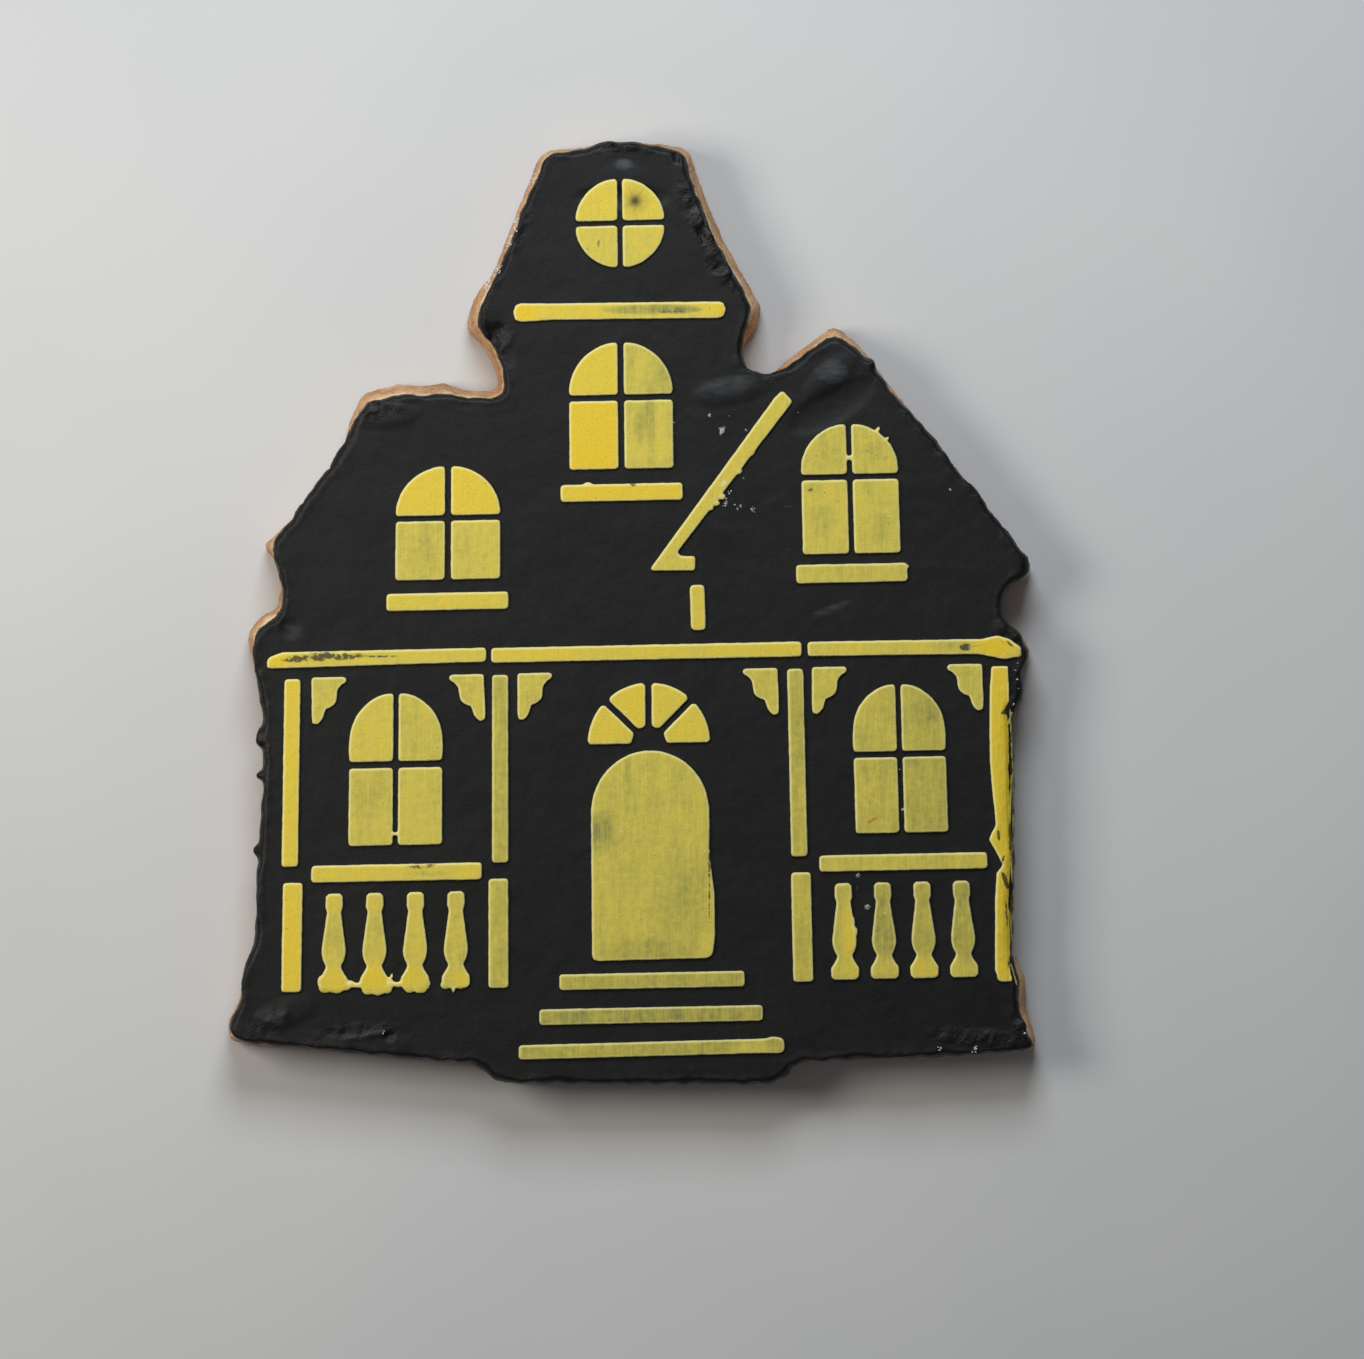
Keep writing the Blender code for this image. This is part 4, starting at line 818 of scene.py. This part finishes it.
def tear_coat(piece, depth):
    """Makes the coat swell, sink and fold where it was torn, and its brim ragged all round."""
    points = points_of(piece)
    upper = np.clip((points[:, 2] - COAT_BASE - 0.4) / 0.8, 0, 1)
    brim = np.clip(1.3 - depth / 1.4, 0, 1) * np.clip((points[:, 2] - COAT_BASE - 0.1) / 0.4, 0, 1)
    grouped(piece, "upper", upper)
    grouped(piece, "brim", brim)
    for name, spots in (("torn", TORN_BLACK), ("swells", SWELLS), ("hollows", HOLLOWS)):
        grouped(piece, name, spotted(points, spots) * upper)
    roughened(piece, clouds_texture("poured_swell", POURED_SWELL[0]), POURED_SWELL[1], "upper", "Z")
    roughened(piece, clouds_texture("ragged_brim", RAGGED_BRIM[0], 3), RAGGED_BRIM[1], "brim")
    lower_crest(piece, depth, upper)
    raised(piece, "swells", SWELL_RISE)
    raised(piece, "hollows", HOLLOW_RISE)
    roughened(piece, clouds_texture("torn_folds", TORN_FOLDS[0], 1), TORN_FOLDS[1], "torn")
    roughened(piece, crags_texture("torn_flakes", TORN_FLAKES[0]), TORN_FLAKES[1], "torn", "NORMAL", 0.35)
    keep_in_box(piece)


def pour_black_coat():
    """The black coat, with its lumps and tears, lying on the biscuit."""
    piece = copied("black_icing", "black_coat")
    lines = outline_of(piece, CAD_COAT_BASE + 0.6, 0.4)
    settle_coat(piece)
    joined(piece, ridge_lumps(piece))
    applied(piece, "REMESH", mode="VOXEL", voxel_size=COAT_VOXEL * MM)
    applied(piece, "SMOOTH", factor=0.5, iterations=2)
    thin_underside(piece, lines)
    depth = spread_rim(piece, lines)
    sharpen_rim(piece, depth)
    smooth_rim(piece, depth)
    tear_coat(piece, depth)
    points = points_of(piece)
    # Scuffs, and painted sheens and glints, for the coat's colour.
    keep_values(piece, "scuff", spotted(points, SCUFFS_AND_SHEENS))
    near_rim = 0.45 * np.clip(1 - depth / 1.2, 0, 1)
    keep_values(piece, "broken", np.maximum(spotted(points, TORN_BLACK), near_rim))
    keep_values(piece, "powder", spotted(points, POWDER))
    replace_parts(finished(piece, black_royal_icing()), "black_icing")
    return piece


def outline_of(piece, below=99.0, lean=0.3):
    """The lines that the piece's upright faces stand on, from above, with the outer side on the right."""
    mesh = piece.data
    lines = set()
    for face in mesh.polygons:
        if abs(face.normal.z) > lean or face.center.z > below * MM:
            continue
        corners = [mesh.vertices[index].co / MM for index in face.vertices]
        for here, after in zip(corners, corners[1:] + corners[:1]):
            run = after.xy - here.xy
            if run.length < 0.01:
                continue
            if run.y * face.normal.x - run.x * face.normal.y < 0:
                here, after = after, here
            lines.add((*(round(value, 3) for value in here.xy), *(round(value, 3) for value in after.xy)))
    return np.array(sorted(lines))


def depth_inside(points, lines):
    """How far each point is from an outline, which of its lines is nearest, and how far along that line."""
    start = lines[:, :2]
    along = lines[:, 2:] - start
    nearest = np.full(len(points), np.inf)
    which = np.zeros(len(points), dtype=int)
    place = np.zeros(len(points))
    for number, (origin, run) in enumerate(zip(start, along)):
        offset = points[:, :2] - origin
        share = np.clip(offset @ run / (run @ run), 0, 1)
        distance = np.linalg.norm(offset - share[:, None] * run, axis=1)
        closer = distance < nearest
        nearest[closer] = distance[closer]
        which[closer] = number
        place[closer] = share[closer]
    return nearest, which, place


def curve_heights(lines):
    """How far the middle of each straight line of an outline falls short of the curve it stands for."""
    runs = lines[:, 2:] - lines[:, :2]
    lengths = np.linalg.norm(runs, axis=1)
    headings = np.arctan2(runs[:, 1], runs[:, 0])
    starts = {tuple(line[:2]): number for number, line in enumerate(lines)}
    ends = {tuple(line[2:]): number for number, line in enumerate(lines)}
    heights = np.zeros(len(lines))
    for number, line in enumerate(lines):
        bends = []
        for other, sign in ((ends.get(tuple(line[:2])), 1), (starts.get(tuple(line[2:])), -1)):
            if other is None:
                continue
            turn = sign * (headings[number] - headings[other])
            turn = (turn + math.pi) % math.tau - math.pi
            if GENTLE[0] < abs(turn) < GENTLE[1] and lengths[number] < 1.6 * lengths[other]:
                bends.append(turn)
        if bends:
            heights[number] = lengths[number] / 2 * math.tan(sum(bends) / len(bends) / 4)
    return heights


def round_out(piece, lines):
    """Bends the straight stretches of arches and balusters into curves, and says how far in points are."""
    points = points_of(piece)
    depth, which, share = depth_inside(points, lines)
    outward = outward_of(lines, which)
    outside = ((points[:, :2] - lines[which, :2]) * outward).sum(axis=1) > 0
    push = curve_heights(lines)[which] * 4 * share * (1 - share) * np.clip(1.2 - depth / 1.5, 0, 1)
    points[:, :2] += outward * push[:, None]
    move_points(piece, points)
    return np.where(outside, -depth, depth)


def fold_post(post):
    """Draws the spilt post's edges in and out as they run in the real one."""
    points = points_of(post)
    levels, left_moves, right_moves = zip(*POST_MOVES)
    to_left = np.clip((POST_LEFT_EDGE[0] - points[:, 0]) / POST_LEFT_EDGE[1], 0, 1)
    to_right = np.clip((points[:, 0] - POST_RIGHT_EDGE[0]) / POST_RIGHT_EDGE[1], 0, 1)
    points[:, 0] += to_left * np.interp(-points[:, 1], levels, left_moves)
    points[:, 0] += to_right * np.interp(-points[:, 1], levels, right_moves)
    move_points(post, points)


def ice_in_yellow(piece, lines, thinness, material, drops=()):
    """Turns a plain yellow piece into soft, uneven icing that is rooted in the black."""
    points = points_of(piece)
    low = points[:, 2] < points[:, 2].min() + 0.2
    points[low, 2] -= YELLOW_ROOT
    move_points(piece, points)
    if drops:
        top = points[:, 2].max()
        middle = top - DROP_DEPTH
        joined(piece, [lump(x, y, middle, *oval, DROP_HALF_HEIGHT, turn) for x, y, *oval, turn in drops])
    applied(piece, "REMESH", mode="VOXEL", voxel_size=YELLOW_VOXEL * MM)
    applied(piece, "SMOOTH", factor=0.5, iterations=2)
    depth = round_out(piece, lines)
    if piece.name.startswith("right_post"):
        fold_post(piece)
    roughened(piece, clouds_texture(piece.name + "_edge", YELLOW_EDGE[0]), YELLOW_EDGE[1])
    keep_in_box(piece)
    points = points_of(piece)
    for oval in drops:
        depth = np.maximum(depth, (1 - np.sqrt(reach_in(points, *oval))) * min(oval[2:4]))
    thin = thinness + spotted(points, THINNER, 1.1) + spotted(points, SCRAPED_BARE, 0.3)
    thin -= spotted(points, THICKER, 1.4)
    keep_values(piece, "inside", np.clip(depth / HIGHLIGHT_BORDER_WIDTH, 0, 1))
    keep_values(piece, "thin", np.clip(thin, 0, 1))
    keep_values(piece, "smudge", spotted(points, SMUDGES))
    keep_values(piece, "burst", burst(points, *STAR))
    keep_values(piece, "crust", spotted(points, CRUSTS))
    keep_values(piece, "scraped_red", spotted(points, ORANGE_SCUFFS))
    return finished(piece, material)


def scrape_on_yellow():
    """All the yellow pieces, the six brackets among them."""
    material = yellow_royal_icing()
    for node, thinness in THINNESS.items():
        piece = copied(node, node + "_yellow")
        ice_in_yellow(piece, outline_of(piece), thinness, material, DROPS.get(node, ()))
        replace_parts(piece, node)
    for number, (x, side) in enumerate(BRACKETS):
        bracket = stepped_bracket(f"bracket_{number + 1}_yellow", x, side)
        ice_in_yellow(bracket, outline_of(bracket), BRACKET_THINNESS, material)


def stepped_bracket(name, x, side):
    """One stepped bracket under the beam, reaching from its post to this side."""
    bpy.ops.mesh.primitive_circle_add(vertices=len(BRACKET_OUTLINE), radius=MM, fill_type="NGON")
    bracket = bpy.context.object
    bracket.name = name
    turn = Matrix.Rotation(STENCIL_TURN, 2)
    corners = BRACKET_OUTLINE if side < 0 else BRACKET_OUTLINE[::-1]
    for vertex, (across, up) in zip(bracket.data.vertices, corners):
        spot = turn @ Vector((x + across * side, BRACKET_TOP + up)) + Vector(STENCIL_AT)
        vertex.co = (spot.x * MM, spot.y * MM, COAT_TOP * MM)
    take_up(bracket)
    bpy.ops.object.mode_set(mode="EDIT")
    bpy.ops.mesh.select_all(action="SELECT")
    bpy.ops.mesh.extrude_region_move(TRANSFORM_OT_translate={"value": (0.0, 0.0, BRACKET_THICKNESS * MM)})
    bpy.ops.mesh.select_all(action="SELECT")
    bpy.ops.mesh.normals_make_consistent(inside=False)
    bpy.ops.object.mode_set(mode="OBJECT")
    return bracket


def drag_strands(coat, material):
    """Thin strands of yellow lying on the coat's right edge."""
    strands = []
    for x, y, half_width, half_length, heading in STRANDS:
        for number in range(STRAND_PARTS):
            along = (number / (STRAND_PARTS - 1) - 0.5) * 2 * half_length * 0.8
            px = x - math.sin(math.radians(heading)) * along
            py = y + math.cos(math.radians(heading)) * along
            struck, place = struck_from_above(coat, px, py)
            if struck:
                sizes = (half_width * 1.4, half_length / 2.2, STRAND_HALF_HEIGHT)
                strands.append(lump(px, py, place.z / MM, *sizes, heading))
    piece = strands[0]
    joined(piece, strands[1:])
    piece.name = "dragged_yellow_strands"
    applied(piece, "REMESH", mode="VOXEL", voxel_size=STRAND_VOXEL * MM)
    points = points_of(piece)
    keep_in_box(piece)
    keep_values(piece, "inside", np.full(len(points), STRAND_INSIDE))
    keep_values(piece, "thin", np.full(len(points), STRAND_THIN))
    for name in ("smudge", "burst", "crust", "scraped_red"):
        keep_values(piece, name, np.zeros(len(points)))
    return finished(piece, material)


def grain_of(name):
    """One uneven grain, a millimetre wide."""
    bpy.ops.mesh.primitive_ico_sphere_add(subdivisions=1, radius=MM / 2)
    grain = bpy.context.object
    grain.name = name
    for vertex in grain.data.vertices:
        vertex.co *= rng.uniform(0.7, 1.25)
    return grain


def strewn(name, places, material, ground):
    """Copies of one grain, each turned, sized and laid on what is under it, as one piece."""
    pattern = grain_of(name + "_pattern")
    copies = []
    for x, y, reach in places:
        hit = max((struck_from_above(piece, x, y)[1] for piece in ground), key=lambda place: place.z)
        copy = bpy.data.objects.new(name, pattern.data.copy())
        turn = Euler([rng.uniform(0, math.tau) for _ in range(3)]).to_matrix().to_4x4()
        scale = Matrix.Diagonal((reach, reach * rng.uniform(0.6, 1.0), reach * rng.uniform(0.5, 0.8), 1.0))
        copy.data.transform(Matrix.Translation((x * MM, y * MM, hit.z + reach * 0.2 * MM)) @ scale @ turn)
        bpy.context.scene.collection.objects.link(copy)
        copies.append(copy)
    bpy.data.objects.remove(pattern)
    joined(copies[0], copies[1:])
    copies[0].name = name
    return finished(copies[0], material)


def strew_crumbs(ground):
    """White sugar and tan crumbs, each grain where something is under it."""
    dust = []
    for x, y, count, spread in DUST:
        for _ in range(count):
            dust.append((x + rng.gauss(0, spread / 2), y + rng.gauss(0, spread / 2), rng.uniform(0.1, 0.26)))
    for x, y, half_length, heading, count in CRYSTALS:
        for _ in range(count):
            along = rng.uniform(-half_length, half_length)
            aside = rng.gauss(0, 0.16)
            angle = math.radians(heading)
            grain_x = x + along * math.cos(angle) - aside * math.sin(angle)
            grain_y = y + along * math.sin(angle) + aside * math.cos(angle)
            dust.append((grain_x, grain_y, rng.uniform(0.12, 0.3)))
    dust = [grain for grain in dust if any(struck_from_above(piece, *grain[:2])[0] for piece in ground)]
    strewn("sugar_grains", dust, sugar_dust(), ground)
    strewn("tan_crumbs", TAN_CRUMBS, tan_crumb(), ground)


def lay_floor():
    """The surface that the cookie lies on."""
    bpy.ops.mesh.primitive_plane_add(size=FLOOR_SIZE)
    floor = bpy.context.object
    floor.name = "pale_floor"
    floor.data.materials.append(pale_floor())


def hang_lamp(name, place, size, power, tint):
    """A soft square lamp that faces the cookie."""
    bpy.ops.object.light_add(type="AREA", location=place)
    lamp = bpy.context.object
    lamp.name = name
    lamp.rotation_euler = (-Vector(place)).to_track_quat("-Z", "Y").to_euler()
    lamp.data.size = size
    lamp.data.energy = power
    lamp.data.color = tint


def light_and_view():
    """The lamps, the room's light and the camera over the cookie."""
    scene = bpy.context.scene
    for lamp in LAMPS:
        hang_lamp(*lamp)
    world = bpy.data.worlds.new("soft_room")
    world.use_nodes = True
    background = world.node_tree.nodes["Background"]
    background.inputs["Color"].default_value = ROOM_TINT
    background.inputs["Strength"].default_value = ROOM_LIGHT
    scene.world = world
    scene.view_settings.view_transform = "Standard"
    place = (VIEW_MIDDLE[0] * MM, VIEW_MIDDLE[1] * MM, CAMERA_HEIGHT * MM)
    bpy.ops.object.camera_add(location=place, rotation=(0.0, 0.0, 0.0))
    camera = bpy.context.object
    camera.data.sensor_width = SENSOR_WIDTH
    camera.data.lens = SENSOR_WIDTH * (CAMERA_HEIGHT - COAT_TOP) / VIEW_WIDTH
    camera.data.clip_start = 0.01
    scene.camera = camera


biscuit = bake_biscuit()
coat = pour_black_coat()
scrape_on_yellow()
drag_strands(coat, bpy.data.materials["yellow_royal_icing"])
strew_crumbs([coat, biscuit])
lay_floor()
light_and_view()
